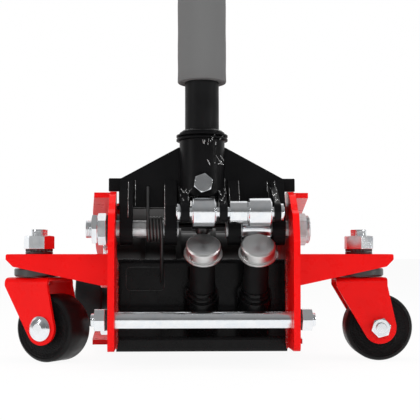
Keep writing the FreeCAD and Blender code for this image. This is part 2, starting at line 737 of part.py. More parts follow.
def caster_axle(x, degrees, head_side):
    """Dome-headed axle bolt and its nut, as two solids."""
    outward = Y_AXIS * head_side
    face = Vector(CASTER_TRAIL, head_side * FORK_HALF, CASTER_AXLE_Z)
    length = 2 * FORK_HALF + CASTER_NUT_T + 3
    shank = rod(face, -outward, CASTER_AXLE_R, length)
    dome = turned([(0, 0), (0, CASTER_DOME_R), (1.5, CASTER_DOME_R), (3.4, CASTER_DOME_R - 2.5),
                   (CASTER_DOME_T, CASTER_DOME_R - 7), (CASTER_DOME_T, 0)], face, outward)
    far = Vector(CASTER_TRAIL, -head_side * FORK_HALF, CASTER_AXLE_Z)
    nut = hex_prism(far, -outward, CASTER_NUT_AF, CASTER_NUT_T, 15)
    nut = nut.cut(rod(face, -outward, CASTER_AXLE_R + RUN, length + 5))
    return [placed_caster(shank.fuse(dome), x, degrees), placed_caster(nut, x, degrees)]


def wheel_profile(radius, half, hub_radius, hub_half, bore, shoulder, web):
    """Half section of a cast wheel: crowned tread, recessed web and hub."""
    rim = radius * 0.76
    return [(-hub_half, bore), (-hub_half, hub_radius), (-web, hub_radius + 2), (-web, rim - 2), (-half, rim),
            (-half, radius - shoulder), (-half + shoulder, radius), (half - shoulder, radius),
            (half, radius - shoulder), (half, rim), (web, rim - 2), (web, hub_radius + 2),
            (hub_half, hub_radius), (hub_half, bore)]


def caster_wheel(x, degrees):
    """Cast caster wheel with recessed faces."""
    profile = wheel_profile(CASTER_WHEEL_R, CASTER_WHEEL_W / 2, 10.5, FORK_HALF - FORK_T - GAP,
                            CASTER_AXLE_R + RUN, 3.0, 9.0)
    wheel = turned(profile, Vector(CASTER_TRAIL, 0, CASTER_AXLE_Z), Y_AXIS)
    return placed_caster(wheel, x, degrees)


def front_wheel():
    """Right front wheel with a long hub that spaces it off the side plate."""
    middle = (FRONT_WHEEL_X0 + FRONT_WHEEL_X1) / 2
    half = (FRONT_WHEEL_X1 - FRONT_WHEEL_X0) / 2
    profile = wheel_profile(FRONT_WHEEL_R, half, FRONT_HUB_R, half + HUB_PROUD, AXLE_R + RUN, 3.5, 11.0)
    wheel = turned(profile, Vector(middle, AXLE_Y, AXLE_Z), X_AXIS)
    hub = cross_rod(FRONT_HALF + GAP, middle, AXLE_Y, AXLE_Z, FRONT_HUB_R)
    return wheel.fuse(hub.cut(cross_rod(0, 300, AXLE_Y, AXLE_Z, AXLE_R + RUN)))


def snap_ring(x, y, z, shaft):
    """Open spring ring in a shaft groove."""
    ring = cross_rod(x, x + RING_T, y, z, shaft + RING_RISE)
    ring = ring.cut(cross_rod(x - 1, x + RING_T + 1, y, z, shaft + RUN))
    return ring.cut(block(x - 1, x + RING_T + 1, y - 2.5, y + 2.5, z - shaft - RING_RISE - 1, z))


def snap_rings():
    """Rings at both ends of the front axle and of the lift arm shaft."""
    front = snap_ring(AXLE_RING_X, AXLE_Y, AXLE_Z, AXLE_R)
    arm = snap_ring(plate_face(ARM_PIVOT_Y) + 1.2, ARM_PIVOT_Y, ARM_PIVOT_Z, ARM_PIVOT_R)
    return [front, mirrored(front), arm, mirrored(arm)]


def pump_point(x, along):
    """Point on a pump's axis, measured from the top of its cap."""
    return Vector(x, CAP_Y, CAP_Z) + PUMP_DIR * along


def valve_point(along):
    """Point on the release valve's axis, measured from the yoke pivot."""
    return PIVOT + PUMP_DIR * along


def power_block():
    """Cast power unit: body between the plates, rear lip, pump bosses, valve boss and spring hooks."""
    body = prism_x([(BLOCK_REAR, BLOCK_TOP, 4), (BLOCK_REAR, 52, 8), (LIP_REAR + 8, LIP_TOP, 8),
                    (LIP_REAR, LIP_TOP - 6, 4), (LIP_REAR, BLOCK_BOTTOM, 3), (BLOCK_FRONT, BLOCK_BOTTOM, 4),
                    (BLOCK_FRONT, BLOCK_TOP, 6)], -FRONT_HALF, FRONT_HALF)
    body = body.common(between_plates(0, LIP_REAR - 5, BLOCK_FRONT + 5, 0, 200))
    parts = []
    for x in PUMP_XS:
        parts.append(rod(pump_point(x, SEAT_END), PUMP_DIR, PUMP_BOSS_R, PUMP_BOSS_END - SEAT_END))
        parts.append(pump_seat(x))
    parts.append(rod(valve_point(VALVE_BOSS_START), PUMP_DIR, VALVE_BOSS_R,
                     VALVE_BOSS_END - VALVE_BOSS_START))
    for side in (-1, 1):
        x = side * RETURN_SPRING_X
        parts.append(block(x - 3, x + 3, BLOCK_FRONT - 2, HOOK_Y + HOOK_R, RAM_PIN.z - HOOK_R,
                           RAM_PIN.z + HOOK_R))
    body = body.fuse(parts)
    cuts = []
    for x in PUMP_XS:
        cuts.append(rod(pump_point(x, SEAT_START - 1), PUMP_DIR, BARREL_R1 + RUN,
                        BARREL_END + PUMP_STROKE + GAP - SEAT_START + 1))
        cuts.append(rod(pump_point(x, SEAT_START), PUMP_DIR, PLUNGER_R + RUN, PUMP_BORE_END - SEAT_START))
    cuts.append(rod(valve_point(0), PUMP_DIR, VALVE_STEM_R + RUN, VALVE_STEM_END))
    cuts.append(rod(Vector(0, PISTON_Y - 1, RAM_Z), Y_AXIS, PISTON_R + RUN, BLOCK_FRONT))
    panel = prism_y([(PANEL_X0, PANEL_Z0, 4), (PANEL_X1, PANEL_Z0, 4), (PANEL_X1, PANEL_Z1, 4),
                     (PANEL_X0, PANEL_Z1, 4)], BLOCK_REAR - 5, BLOCK_REAR + PANEL_DEPTH)
    cuts.append(panel)
    for side in (-1, 1):
        for z in BLOCK_BOLT_ZS:
            cuts.append(cross_rod(side * 75 - 15, side * 75 + 15, BLOCK_BOLT_Y, z, BLOCK_BOLT_R + RUN))
    return body.cut(cuts)


def block_bolts():
    """Hex bolts through the side plates into the power unit."""
    bolts = []
    face = plate_face(BLOCK_BOLT_Y) + HEAD_LIFT
    for z in BLOCK_BOLT_ZS:
        shank = cross_rod(face - 28, face + 1, BLOCK_BOLT_Y, z, BLOCK_BOLT_R)
        head = hex_prism(Vector(face, BLOCK_BOLT_Y, z), X_AXIS, BLOCK_BOLT_AF, BLOCK_BOLT_HEAD_T, 10)
        bolts.append(shank.fuse(head))
    return bolts + [mirrored(bolt) for bolt in bolts]


def pump_seat(x):
    """Two seat collars on the power unit, in which a pump's barrel slides."""
    profile = [(SEAT_START, 0), (SEAT_START, SEAT_RING_R - 0.4), (SEAT_START + 0.4, SEAT_RING_R),
               (SEAT_START + 4, SEAT_RING_R), (SEAT_START + 5, SEAT_RING_R - 0.4),
               (SEAT_START + 6, COLLAR_R), (SEAT_END + 1, COLLAR_R), (SEAT_END + 1, 0)]
    return turned(profile, Vector(x, CAP_Y, CAP_Z), PUMP_DIR)


def pump_barrel(x):
    """Slightly tapered barrel that moves with its cap and slides into the seat."""
    start = CAP_T + CAP_FLANGE_T
    profile = [(start, PLUNGER_R), (start, BARREL_R0 - 0.5), (start + 0.6, BARREL_R0),
               (BARREL_END - 2, BARREL_R1), (BARREL_END, BARREL_R1), (BARREL_END, PLUNGER_R)]
    return turned(profile, Vector(x, CAP_Y, CAP_Z), PUMP_DIR)


def pump_piston(x):
    """Plunger with its round cap: crowned face, side hole and lower flange."""
    profile = [(0, 0), (0, CAP_R - 1.4), (1.4, CAP_R), (CAP_T, CAP_R), (CAP_T, CAP_FLANGE_R),
               (CAP_T + CAP_FLANGE_T, CAP_FLANGE_R), (CAP_T + CAP_FLANGE_T, PLUNGER_R),
               (PLUNGER_END - 1, PLUNGER_R),
               (PLUNGER_END, PLUNGER_R - 1), (PLUNGER_END, SPRING_BORE_R), (SPRING_BORE_START, SPRING_BORE_R),
               (SPRING_BORE_START, 0)]
    piston = turned(profile, Vector(x, CAP_Y, CAP_Z), PUMP_DIR)
    rearward = Vector(-0.72, PUMP_DIR.z * 0.69, -PUMP_DIR.y * 0.69)
    hole = rod(pump_point(x, CAP_T - 3.6), rearward, CAP_HOLE_R, CAP_R + 3)
    keep = rod(pump_point(x, -5), PUMP_DIR, CAP_R - 5, 40)
    return piston.cut(hole.cut(keep))


def pump_spring(x):
    """Return spring inside the plunger, as a plain sleeve."""
    length = PUMP_BORE_END - SPRING_BORE_START - 2 * GAP
    start = pump_point(x, SPRING_BORE_START + GAP)
    sleeve = rod(start, PUMP_DIR, SPRING_BORE_R - 2 * GAP, length)
    return sleeve.cut(rod(start, PUMP_DIR, SPRING_BORE_R - 2 * GAP - 1.6, length))


def release_valve():
    """Valve stem with a ball end and a cross pin that the handle's cup turns."""
    ball = Part.makeSphere(BALL_R, PIVOT)
    cross = cross_rod(-CROSS_HALF, CROSS_HALF, PIVOT_Y, PIVOT_Z, CROSS_R)
    neck = rod(PIVOT, PUMP_DIR, VALVE_NECK_R, VALVE_STEM_START + 2)
    stem = turned([(0, 0), (0, VALVE_STEM_R - 2), (2, VALVE_STEM_R),
                   (VALVE_STEM_END - VALVE_STEM_START - 4, VALVE_STEM_R),
                   (VALVE_STEM_END - VALVE_STEM_START - GAP, 2),
                   (VALVE_STEM_END - VALVE_STEM_START - GAP, 0)],
                  valve_point(VALVE_STEM_START), PUMP_DIR)
    return facing_out(stem.fuse([neck, cross, ball]))


def release_cup():
    """Slotted cup on the handle's lower end that turns the valve's cross pin."""
    cup = rod(PIVOT, Z_AXIS, CUP_R, CUP_TALL)
    shank = rod(PIVOT + Z_AXIS * CUP_TALL, Z_AXIS, CUP_BORE_R, TUBE_BOTTOM - PIVOT_Z - CUP_TALL + 2)
    plug = rod(Vector(0, PIVOT_Y, TUBE_BOTTOM), Z_AXIS, TUBE_R - TUBE_WALL, 14)
    bore = rod(PIVOT - Z_AXIS, Z_AXIS, CUP_BORE_R, CUP_SLOT_TALL + 2)
    slot = block(-CUP_R - 1, CUP_R + 1, PIVOT_Y - CUP_SLOT_W / 2, PIVOT_Y + CUP_SLOT_W / 2,
                 PIVOT_Z - 1, PIVOT_Z + CUP_SLOT_TALL)
    return in_yoke(cup.fuse([shank, plug]).cut([bore, slot]))


def yoke_arm(x0, x1):
    """One pivot arm: round boss that runs up into a rib on the gable plate."""
    boss = cross_rod(x0, x1, PIVOT_Y, PIVOT_Z, ARM_BOSS_R)
    rib = prism_x([(PIVOT_Y - ARM_BOSS_R, PIVOT_Z, 0), (PIVOT_Y + ARM_BOSS_R, PIVOT_Z, 0),
                   (GABLE_Y0 + GABLE_T, GABLE_BOTTOM + 4, 0), (GABLE_Y0 + GABLE_T, ARM_RIB_TOP, 0),
                   (GABLE_Y0, ARM_RIB_TOP, 0), (PIVOT_Y - ARM_BOSS_R + 1, GABLE_BOTTOM, 0)], x0, x1)
    return boss.fuse(rib)


def yoke_tab(x0, x1):
    """One tab that reaches back from the gable plate to the roller shaft."""
    y, z = PIVOT_Y - ROLLER_BACK, PIVOT_Z + ROLLER_UP
    eye = cross_rod(x0, x1, y, z, TAB_R)
    web = prism_x([(y - 2, z + TAB_R - 0.3, 0), (y + 3, z - TAB_R + 0.5, 0),
                   (GABLE_Y0 + 2, GABLE_BOTTOM - 2, 0),
                   (GABLE_Y0 + 2, ARM_RIB_TOP - 6, 0), (GABLE_Y0 - 10, ARM_RIB_TOP - 8, 8)], x0, x1)
    return eye.fuse(web)


def handle_yoke():
    """Cast yoke: gable plate, socket tube with a beaded collar, four pivot arms and three roller tabs."""
    gable = prism_y([(-GABLE_HALF, EAR_BOTTOM, 0), (-GABLE_INNER_HALF, EAR_BOTTOM, 0),
                     (-GABLE_INNER_HALF, GABLE_BOTTOM, 0), (GABLE_INNER_HALF, GABLE_BOTTOM, 0),
                     (GABLE_INNER_HALF, EAR_BOTTOM, 0), (GABLE_HALF, EAR_BOTTOM, 0), (GABLE_HALF, EAR_TOP, 1),
                     (GABLE_SHOULDER, EAR_TOP, 3), (GABLE_TOP_HALF, GABLE_TOP, 3),
                     (-GABLE_TOP_HALF, GABLE_TOP, 3),
                     (-GABLE_SHOULDER, EAR_TOP, 3), (-GABLE_HALF, EAR_TOP, 1)], GABLE_Y0, GABLE_Y0 + GABLE_T)
    base = Vector(0, PIVOT_Y, SOCKET_BOTTOM)
    socket = rod(base, Z_AXIS, SOCKET_R, SOCKET_TOP - SOCKET_BOTTOM)
    parts = [socket] + [yoke_arm(x0, x1) for x0, x1 in ARM_XS] + [yoke_tab(x0, x1) for x0, x1 in TAB_XS]
    for z in COLLAR_BEAD_ZS:
        parts.append(turned([(0, TUBE_R), (0, SOCKET_R), (0.8, COLLAR_BEAD_R),
                             (COLLAR_BEAD_T - 0.8, COLLAR_BEAD_R),
                             (COLLAR_BEAD_T, SOCKET_R), (COLLAR_BEAD_T, TUBE_R)], Vector(0, PIVOT_Y, z),
                            Z_AXIS))
    body = gable.fuse(parts)
    cuts = [rod(Vector(0, PIVOT_Y, PIVOT_Z + 20), Z_AXIS, TUBE_R + RUN, 140),
            cross_rod(-200, 200, PIVOT_Y, PIVOT_Z, PIVOT_R + RUN),
            cross_rod(-30, 80, PIVOT_Y - ROLLER_BACK, PIVOT_Z + ROLLER_UP, ROLLER_SHAFT_R + RUN),
            rod(Vector(0, PIVOT_Y - SOCKET_R - 10, CLAMP_Z), Y_AXIS, CLAMP_R + RUN, SOCKET_R + 10 - TUBE_R)]
    flat = block(-12, 12, PIVOT_Y - SOCKET_R - 5, PIVOT_Y - SOCKET_R + 1.2, CLAMP_Z - 11, CLAMP_Z + 11)
    cuts.append(flat)
    return in_yoke(body.cut(cuts))


def clamp_bolt():
    """Hex bolt in the socket whose tip runs in the handle's groove."""
    face = PIVOT_Y - SOCKET_R + 1.2
    head = hex_prism(Vector(0, face, CLAMP_Z), -Y_AXIS, CLAMP_AF, CLAMP_HEAD_T, 20)
    shank = rod(Vector(0, face - 1, CLAMP_Z), Y_AXIS, CLAMP_R, PIVOT_Y - TUBE_R - GAP - face + 1)
    tip = rod(Vector(0, face - 1, CLAMP_Z), Y_AXIS, CLAMP_TIP_R,
              PIVOT_Y - TUBE_R + GROOVE_DEPTH - GAP - face + 1)
    return in_yoke(head.fuse([shank, tip]))


def roller_place(x):
    """Point on the roller shaft's axis."""
    return Vector(x, PIVOT_Y - ROLLER_BACK, PIVOT_Z + ROLLER_UP)


def roller_shaft():
    """Shaft through the three tabs, with its two end washers."""
    shaft = rod(roller_place(ROLLER_SHAFT_X0), X_AXIS, ROLLER_SHAFT_R, ROLLER_SHAFT_X1 - ROLLER_SHAFT_X0)
    left = rod(roller_place(ROLLER_SHAFT_X0 + 1), X_AXIS, ROLLER_WASHER_R, ROLLER_WASHER_T)
    right = rod(roller_place(ROLLER_SHAFT_X1 - 1 - ROLLER_WASHER_T), X_AXIS, ROLLER_WASHER_R, ROLLER_WASHER_T)
    return in_yoke(shaft.fuse([left, right]))


def pump_roller(x0, x1):
    """Zinc roller with narrow end shoulders."""
    profile = [(0, ROLLER_SHAFT_R + RUN), (0, ROLLER_R - 3), (0.8, ROLLER_R - 3), (0.8, ROLLER_R - 0.8),
               (1.6, ROLLER_R),
               (x1 - x0 - 1.6, ROLLER_R), (x1 - x0 - 0.8, ROLLER_R - 0.8), (x1 - x0 - 0.8, ROLLER_R - 3),
               (x1 - x0, ROLLER_R - 3), (x1 - x0, ROLLER_SHAFT_R + RUN)]
    return in_yoke(turned(profile, roller_place(x0), X_AXIS))


def yoke_spacers():
    """Spacer tubes on the roller shaft and on the right pivot bolt."""
    roller = rod(roller_place(SPACER_X0), X_AXIS, SPACER_R, SPACER_X1 - SPACER_X0)
    roller = roller.cut(rod(roller_place(SPACER_X0 - 1), X_AXIS, ROLLER_SHAFT_R + RUN, 40))
    pivot = cross_rod(PIVOT_SPACER_X0, PIVOT_SPACER_X1, PIVOT_Y, PIVOT_Z, PIVOT_SPACER_R)
    pivot = pivot.cut(cross_rod(0, 100, PIVOT_Y, PIVOT_Z, PIVOT_R + RUN))
    return [in_yoke(roller), in_yoke(pivot)]


def handle_spring():
    """Torsion spring: close coils round the stud, one leg up to the gable, one down to the block."""
    pitch = (SPRING_X1 - SPRING_X0) / SPRING_COILS
    step = SPRING_COILS / SPRING_ARCS
    forward = Vector(0, 2 * math.pi * SPRING_MEAN_R, pitch).normalize()
    profile = Part.Wire(Part.makeCircle(SPRING_WIRE_R, Vector(SPRING_MEAN_R, 0, 0), forward))
    helix = Part.makeHelix(pitch, pitch * step, SPRING_MEAN_R)
    arc = Part.Wire(helix).makePipeShell([profile], True, True)
    arcs = []
    for index in range(SPRING_ARCS):
        placed = arc.copy()
        placed.rotate(Vector(0, 0, 0), Z_AXIS, 360 * step * index)
        placed.translate(Z_AXIS * pitch * step * index)
        arcs.append(placed)
    coils = arcs[0].fuse(arcs[1:])
    coils.rotate(Vector(0, 0, 0), Y_AXIS, 90)
    coils.rotate(Vector(0, 0, 0), X_AXIS, -90)
    coils.translate(Vector(SPRING_X0, PIVOT_Y, PIVOT_Z))
    first = Vector(SPRING_X0, PIVOT_Y - SPRING_MEAN_R, PIVOT_Z)
    seat = Vector(SPRING_X0, GABLE_Y0 - SPRING_WIRE_R - GAP, SPRING_LEG_TOP)
    up = spring_leg(first, PIVOT + upright_to_rest(seat - PIVOT))
    leave = math.pi + 2 * math.pi * SPRING_COILS
    last = Vector(SPRING_X1, PIVOT_Y + SPRING_MEAN_R * math.cos(leave),
                  PIVOT_Z + SPRING_MEAN_R * math.sin(leave))
    along = Vector(0, -math.sin(leave), math.cos(leave))
    reach = (BLOCK_REAR - SPRING_WIRE_R - GAP - last.y) / along.y
    down = spring_leg(last, last + along * reach)
    return coils.fuse([up, down])


def upright_to_rest(offset):
    """Offset from the pivot, leaned forward with the handle."""
    turn = math.radians(-HANDLE_LEAN)
    return Vector(offset.x, offset.y * math.cos(turn) - offset.z * math.sin(turn),
                  offset.y * math.sin(turn) + offset.z * math.cos(turn))


def spring_leg(start, stop):
    """Straight wire leg with a ball joint where it leaves the coil."""
    wire = rod(start, (stop - start).normalize(), SPRING_WIRE_R, (stop - start).Length)
    return wire.fuse(Part.makeSphere(SPRING_WIRE_R * 1.08, start))


def tube(z0, z1, outer, inner):
    """Tube on the handle's axis, drawn upright."""
    base = Vector(0, PIVOT_Y, z0)
    return rod(base, Z_AXIS, outer, z1 - z0).cut(rod(base, Z_AXIS, inner, z1 - z0))


def lower_handle_tube():
    """Lower handle tube with the swivel groove and a reduced spigot at its upper end."""
    body = tube(TUBE_BOTTOM, TUBE_JOINT, TUBE_R, TUBE_R - TUBE_WALL)
    spigot = tube(TUBE_JOINT - 20, TUBE_JOINT + SPIGOT_LENGTH, TUBE_R - TUBE_WALL + 0.5,
                  TUBE_R - 2 * TUBE_WALL)
    groove = tube(CLAMP_Z - GROOVE_HALF, CLAMP_Z + GROOVE_HALF, TUBE_R + 1, TUBE_R - GROOVE_DEPTH)
    body = body.fuse(spigot).cut(groove)
    hole = rod(Vector(0, PIVOT_Y, BUTTON_Z), -Y_AXIS, BUTTON_R + RUN, TUBE_R + 5)
    return in_yoke(body.cut(hole))


def upper_handle_tube():
    """Upper handle tube, pushed over the spigot and held by the button."""
    body = tube(TUBE_JOINT + 0.1, TUBE_TOP, TUBE_R, TUBE_R - TUBE_WALL + 0.5 + RUN)
    hole = rod(Vector(0, PIVOT_Y, BUTTON_Z), -Y_AXIS, BUTTON_R + RUN, TUBE_R + 5)
    return in_yoke(body.cut(hole))


def handle_button():
    """Snap button through both tubes."""
    profile = [(TUBE_R - 2 * TUBE_WALL, 0), (TUBE_R - 2 * TUBE_WALL, BUTTON_R), (TUBE_R, BUTTON_R),
               (TUBE_R + 2, BUTTON_R - 1.6),
               (TUBE_R + 2.4, 0)]
    return in_yoke(turned(profile, Vector(0, PIVOT_Y, BUTTON_Z), -Y_AXIS))


def foam_sleeve():
    """Foam bumper sleeve on the lower tube."""
    profile = [(0, TUBE_R + RUN), (0, SLEEVE_R - 1), (1, SLEEVE_R),
               (SLEEVE_TOP - SLEEVE_BOTTOM - 1, SLEEVE_R),
               (SLEEVE_TOP - SLEEVE_BOTTOM, SLEEVE_R - 1), (SLEEVE_TOP - SLEEVE_BOTTOM, TUBE_R + RUN)]
    return in_yoke(turned(profile, Vector(0, PIVOT_Y, SLEEVE_BOTTOM), Z_AXIS))


def hand_grip():
    """Moulded grip with a flange and finger grooves, closed over the tube's end."""
    base = TUBE_TOP + GRIP_CAP_T - GRIP_LENGTH
    profile = [(0, TUBE_R + RUN), (0, GRIP_R + 2.5), (4, GRIP_R + 2.5), (6, GRIP_R)]
    for index in range(7):
        along = 18 + index * 14
        profile += [(along, GRIP_R), (along + 2, GRIP_R - 1.2), (along + 4, GRIP_R)]
    profile += [(GRIP_LENGTH - 4, GRIP_R), (GRIP_LENGTH, GRIP_R - 4), (GRIP_LENGTH, 0),
                (GRIP_LENGTH - GRIP_CAP_T, 0),
                (GRIP_LENGTH - GRIP_CAP_T, TUBE_R + RUN)]
    return in_yoke(turned(profile, Vector(0, PIVOT_Y, base), Z_AXIS))


def reservoir():
    """Oil tank round the lift cylinder, with its filler boss."""
    start = Vector(0, BLOCK_FRONT, RAM_Z)
    shell = turned([(0, PISTON_R + RUN), (0, TANK_R), (TANK_FRONT - BLOCK_FRONT - 3, TANK_R),
                    (TANK_FRONT - BLOCK_FRONT, TANK_R - 3), (TANK_FRONT - BLOCK_FRONT, PISTON_R + RUN)],
                   start, Y_AXIS)
    boss = rod(Vector(0, PLUG_Y, RAM_Z + TANK_R - 4), Z_AXIS, PLUG_R + 3, 6)
    bore = rod(Vector(0, PLUG_Y, RAM_Z + TANK_R - 3), Z_AXIS, PLUG_R - 1.5 + RUN, 12)
    return shell.fuse(boss).cut(bore)


def filler_plug():
    """Rubber plug pushed into the filler boss."""
    top = RAM_Z + TANK_R + 2
    return turned([(-5, 0), (-5, PLUG_R - 2.5), (-4, PLUG_R - 1.5), (0, PLUG_R - 1.5), (0, PLUG_R + 1.5),
                   (2.5, PLUG_R + 1.5),
                   (4, PLUG_R - 0.5), (4, 0)], Vector(0, PLUG_Y, top), Z_AXIS)


def gland_nut():
    """Slotted gland nut that guides the ram at the front of the tank."""
    nut = turned([(TANK_FRONT, RAM_R + RUN), (TANK_FRONT, GLAND_R), (GLAND_FRONT - 1.5, GLAND_R),
                  (GLAND_FRONT, GLAND_R - 1.5), (GLAND_FRONT, RAM_R + RUN)], Vector(0, 0, RAM_Z), Y_AXIS)
    notches = []
    for index in range(4):
        notch = block(-3, 3, GLAND_FRONT - 4, GLAND_FRONT + 1, RAM_Z + GLAND_R - 2.5, RAM_Z + GLAND_R + 5)
        notch.rotate(Vector(0, 0, RAM_Z), Y_AXIS, 45 + index * 90)
        notches.append(notch)
    return nut.cut(notches)


def ram():
    """Ram: piston, rod and slotted crosshead in which the arm's pin rides."""
    piston = rod(Vector(0, PISTON_Y, RAM_Z), Y_AXIS, PISTON_R, PISTON_T)
    bar = rod(Vector(0, PISTON_Y, RAM_Z), Y_AXIS, RAM_R, CLEVIS_Y0 + 2 - PISTON_Y)
    head = prism_x([(CLEVIS_Y0, RAM_Z - CLEVIS_TALL, 4), (CLEVIS_Y1, RAM_Z - CLEVIS_TALL, 8),
                    (CLEVIS_Y1, RAM_Z + CLEVIS_TALL, 8), (CLEVIS_Y0, RAM_Z + CLEVIS_TALL, 4)], -CLEVIS_HALF,
                   CLEVIS_HALF)
    half_w = RAM_PIN_R + 1.1
    half_h = LUG_R * (1 - math.cos(LUG_TURN)) / 2 + RAM_PIN_R + 1.0
    y = RAM_PIN.y
    slot = prism_x([(y - half_w, RAM_Z - half_h, 6), (y + half_w, RAM_Z - half_h, 6),
                    (y + half_w, RAM_Z + half_h, 6),
                    (y - half_w, RAM_Z + half_h, 6)], -30, 30)
    return piston.fuse([bar, head]).cut(slot)


def arm_place(u, v):
    """Point in the arm's own frame, u towards the knuckle and v square to it, as (y, z)."""
    turn = math.radians(ARM_REST)
    y = ARM_PIVOT_Y + u * math.cos(turn) - v * math.sin(turn)
    z = ARM_PIVOT_Z + u * math.sin(turn) + v * math.cos(turn)
    return y, z


def arm_profile(shrink):
    """Side outline of the arm: round rear, crowned back, slim round nose; shrink lowers the top."""
    corners = [(-ARM_REAR_R, -ARM_REAR_R, ARM_REAR_R - 1), (60, -ARM_REAR_R, 60),
               (ARM_LENGTH, -ARM_FRONT_R, 0),
               (ARM_LENGTH + ARM_FRONT_R, -ARM_FRONT_R, 0), (ARM_LENGTH + ARM_FRONT_R, ARM_FRONT_R, 0),
               (ARM_LENGTH, ARM_FRONT_R - shrink, 0), (ARM_LENGTH * 0.6, ARM_CROWN - 5 - shrink, 80),
               (70, ARM_CROWN - shrink, 60), (-ARM_REAR_R, ARM_REAR_R - shrink, ARM_REAR_R - shrink - 1)]
    return [arm_place(u, v) + (r,) for u, v, r in corners]


def arm_plan(inset):
    """Plan of the arm, wide at the shaft and narrow at the knuckle."""
    rear, front = ARM_REAR_HALF - inset, ARM_FRONT_HALF - inset
    right = [(rear, ARM_PIVOT_Y - 100, 0), (rear, ARM_TAPER_Y0, 30), (front, ARM_TAPER_Y1, 30),
             (front, KNUCKLE.y + 70, 0)]
    left = [(-x, y, r) for x, y, r in reversed(right)]
    return prism_z(right + left, 0, 250)


def lift_arm():
    """Lift arm: tapered channel with a crowned back, hub tube, two ram lugs and a rear stiffener."""
    nose_y, nose_z = KNUCKLE.y, KNUCKLE.z
    profile = prism_x(arm_profile(0), -70, 70)
    square_nose = prism_x([arm_place(ARM_LENGTH, -60) + (0,), arm_place(ARM_LENGTH + 60, -60) + (0,),
                           arm_place(ARM_LENGTH + 60, 60) + (0,), arm_place(ARM_LENGTH, 60) + (0,)], -71, 71)
    profile = profile.cut(square_nose).fuse(cross_rod(-70, 70, nose_y, nose_z, ARM_FRONT_R))
    shell = arm_plan(0).cut(arm_plan(ARM_WALL)).common(profile)
    back = profile.cut(prism_x(arm_profile(ARM_WALL), -71, 71)).common(arm_plan(ARM_WALL - 1))
    window = prism_x([arm_place(30, 0) + (0,), arm_place(ARM_LENGTH - 50, 0) + (0,),
                      arm_place(ARM_LENGTH - 50, 60) + (0,), arm_place(30, 60) + (0,)], -71, 71)
    back = back.common(window)
    hub = cross_rod(-ARM_HUB_HALF, ARM_HUB_HALF, ARM_PIVOT_Y, ARM_PIVOT_Z, ARM_HUB_R)
    lugs = []
    for x0, x1 in ((-LUG_X1, -LUG_X0), (LUG_X0, LUG_X1)):
        lugs += [cross_rod(x0, x1, ARM_PIVOT_Y, ARM_PIVOT_Z, ARM_REAR_R - 4),
                 cross_rod(x0, x1, RAM_PIN.y, RAM_PIN.z, LUG_TIP_R),
                 lug_web(x0, x1)]
    arm = shell.fuse([back, hub] + lugs)
    cuts = [cross_rod(-200, 200, ARM_PIVOT_Y, ARM_PIVOT_Z, ARM_PIVOT_R + RUN),
            cross_rod(-40, 40, RAM_PIN.y, RAM_PIN.z, RAM_PIN_R + RUN),
            cross_rod(-60, 60, nose_y, nose_z, KNUCKLE_PIN_R + RUN)]
    return arm.cut(cuts)


def lug_web(x0, x1):
    """Straight flanks between a lug's hub and its pin eye."""
    along = (RAM_PIN - ARM_PIVOT).normalize()
    side = along.cross(X_AXIS)
    corners = [ARM_PIVOT + side * (ARM_REAR_R - 4), RAM_PIN + side * LUG_TIP_R,
               RAM_PIN - side * LUG_TIP_R, ARM_PIVOT - side * (ARM_REAR_R - 4)]
    return prism_x([(point.y, point.z, 0) for point in corners], x0, x1)


def level_link():
    """Right levelling link: flat bar set inward at the front, with round eyes."""
    rear = ARM_PIVOT + LINK_SHIFT
    front = KNUCKLE + LINK_SHIFT
    along = (front - rear).normalize()
    side = along.cross(X_AXIS)
    corners = [rear + side * LINK_HALF_H, front + side * LINK_HALF_H, front - side * LINK_HALF_H,
               rear - side * LINK_HALF_H]
    bar = prism_x([(point.y, point.z, 0) for point in corners], 20, 90)
    bar = bar.fuse([cross_rod(20, 90, rear.y, rear.z, LINK_EYE_R),
                    cross_rod(20, 90, front.y, front.z, LINK_EYE_R)])
    outer = [(LINK_REAR_X + LINK_T, ARM_PIVOT_Y - 50, 0), (LINK_REAR_X + LINK_T, ARM_TAPER_Y0 + 5, 20),
             (LINK_FRONT_X + LINK_T, ARM_TAPER_Y1 + 15, 20), (LINK_FRONT_X + LINK_T, KNUCKLE.y + 70, 0)]
    inner = [(LINK_FRONT_X, KNUCKLE.y + 70, 0), (LINK_FRONT_X, ARM_TAPER_Y1 + 15, 20),
             (LINK_REAR_X, ARM_TAPER_Y0 + 5, 20),
             (LINK_REAR_X, ARM_PIVOT_Y - 50, 0)]
    bar = bar.common(prism_z(outer + inner, 0, 200))
    bores = [cross_rod(0, 100, point.y, point.z, LINK_BOLT_R + RUN) for point in (rear, front)]
    return bar.cut(bores)


def link_anchor_bolt():
    """Right anchor bolt, from outside the side plate to the link's rear eye."""
    anchor = ARM_PIVOT + LINK_SHIFT
    face = plate_face(anchor.y) + HEAD_LIFT
    shank = cross_rod(LINK_REAR_X - 1, face + 1, anchor.y, anchor.z, LINK_BOLT_R)
    head = hex_prism(Vector(face, anchor.y, anchor.z), X_AXIS, BLOCK_BOLT_AF, BLOCK_BOLT_HEAD_T, 20)
    collar = cross_rod(LINK_REAR_X + LINK_T + GAP, face - PLATE_T - 1.6, anchor.y, anchor.z, LINK_BOLT_HEAD_R)
    return shank.fuse([head, collar])


def link_bolt():
    """Right shoulder bolt, from the knuckle out to the link's front eye."""
    point = KNUCKLE + LINK_SHIFT
    shank = cross_rod(KNUCKLE_HALF - 12, LINK_FRONT_X + LINK_T + 1, point.y, point.z, LINK_BOLT_R)
    head = cross_rod(LINK_FRONT_X + LINK_T + GAP, LINK_FRONT_X + LINK_T + GAP + LINK_BOLT_HEAD_T, point.y,
                     point.z,
                     LINK_BOLT_HEAD_R)
    return shank.fuse(head)


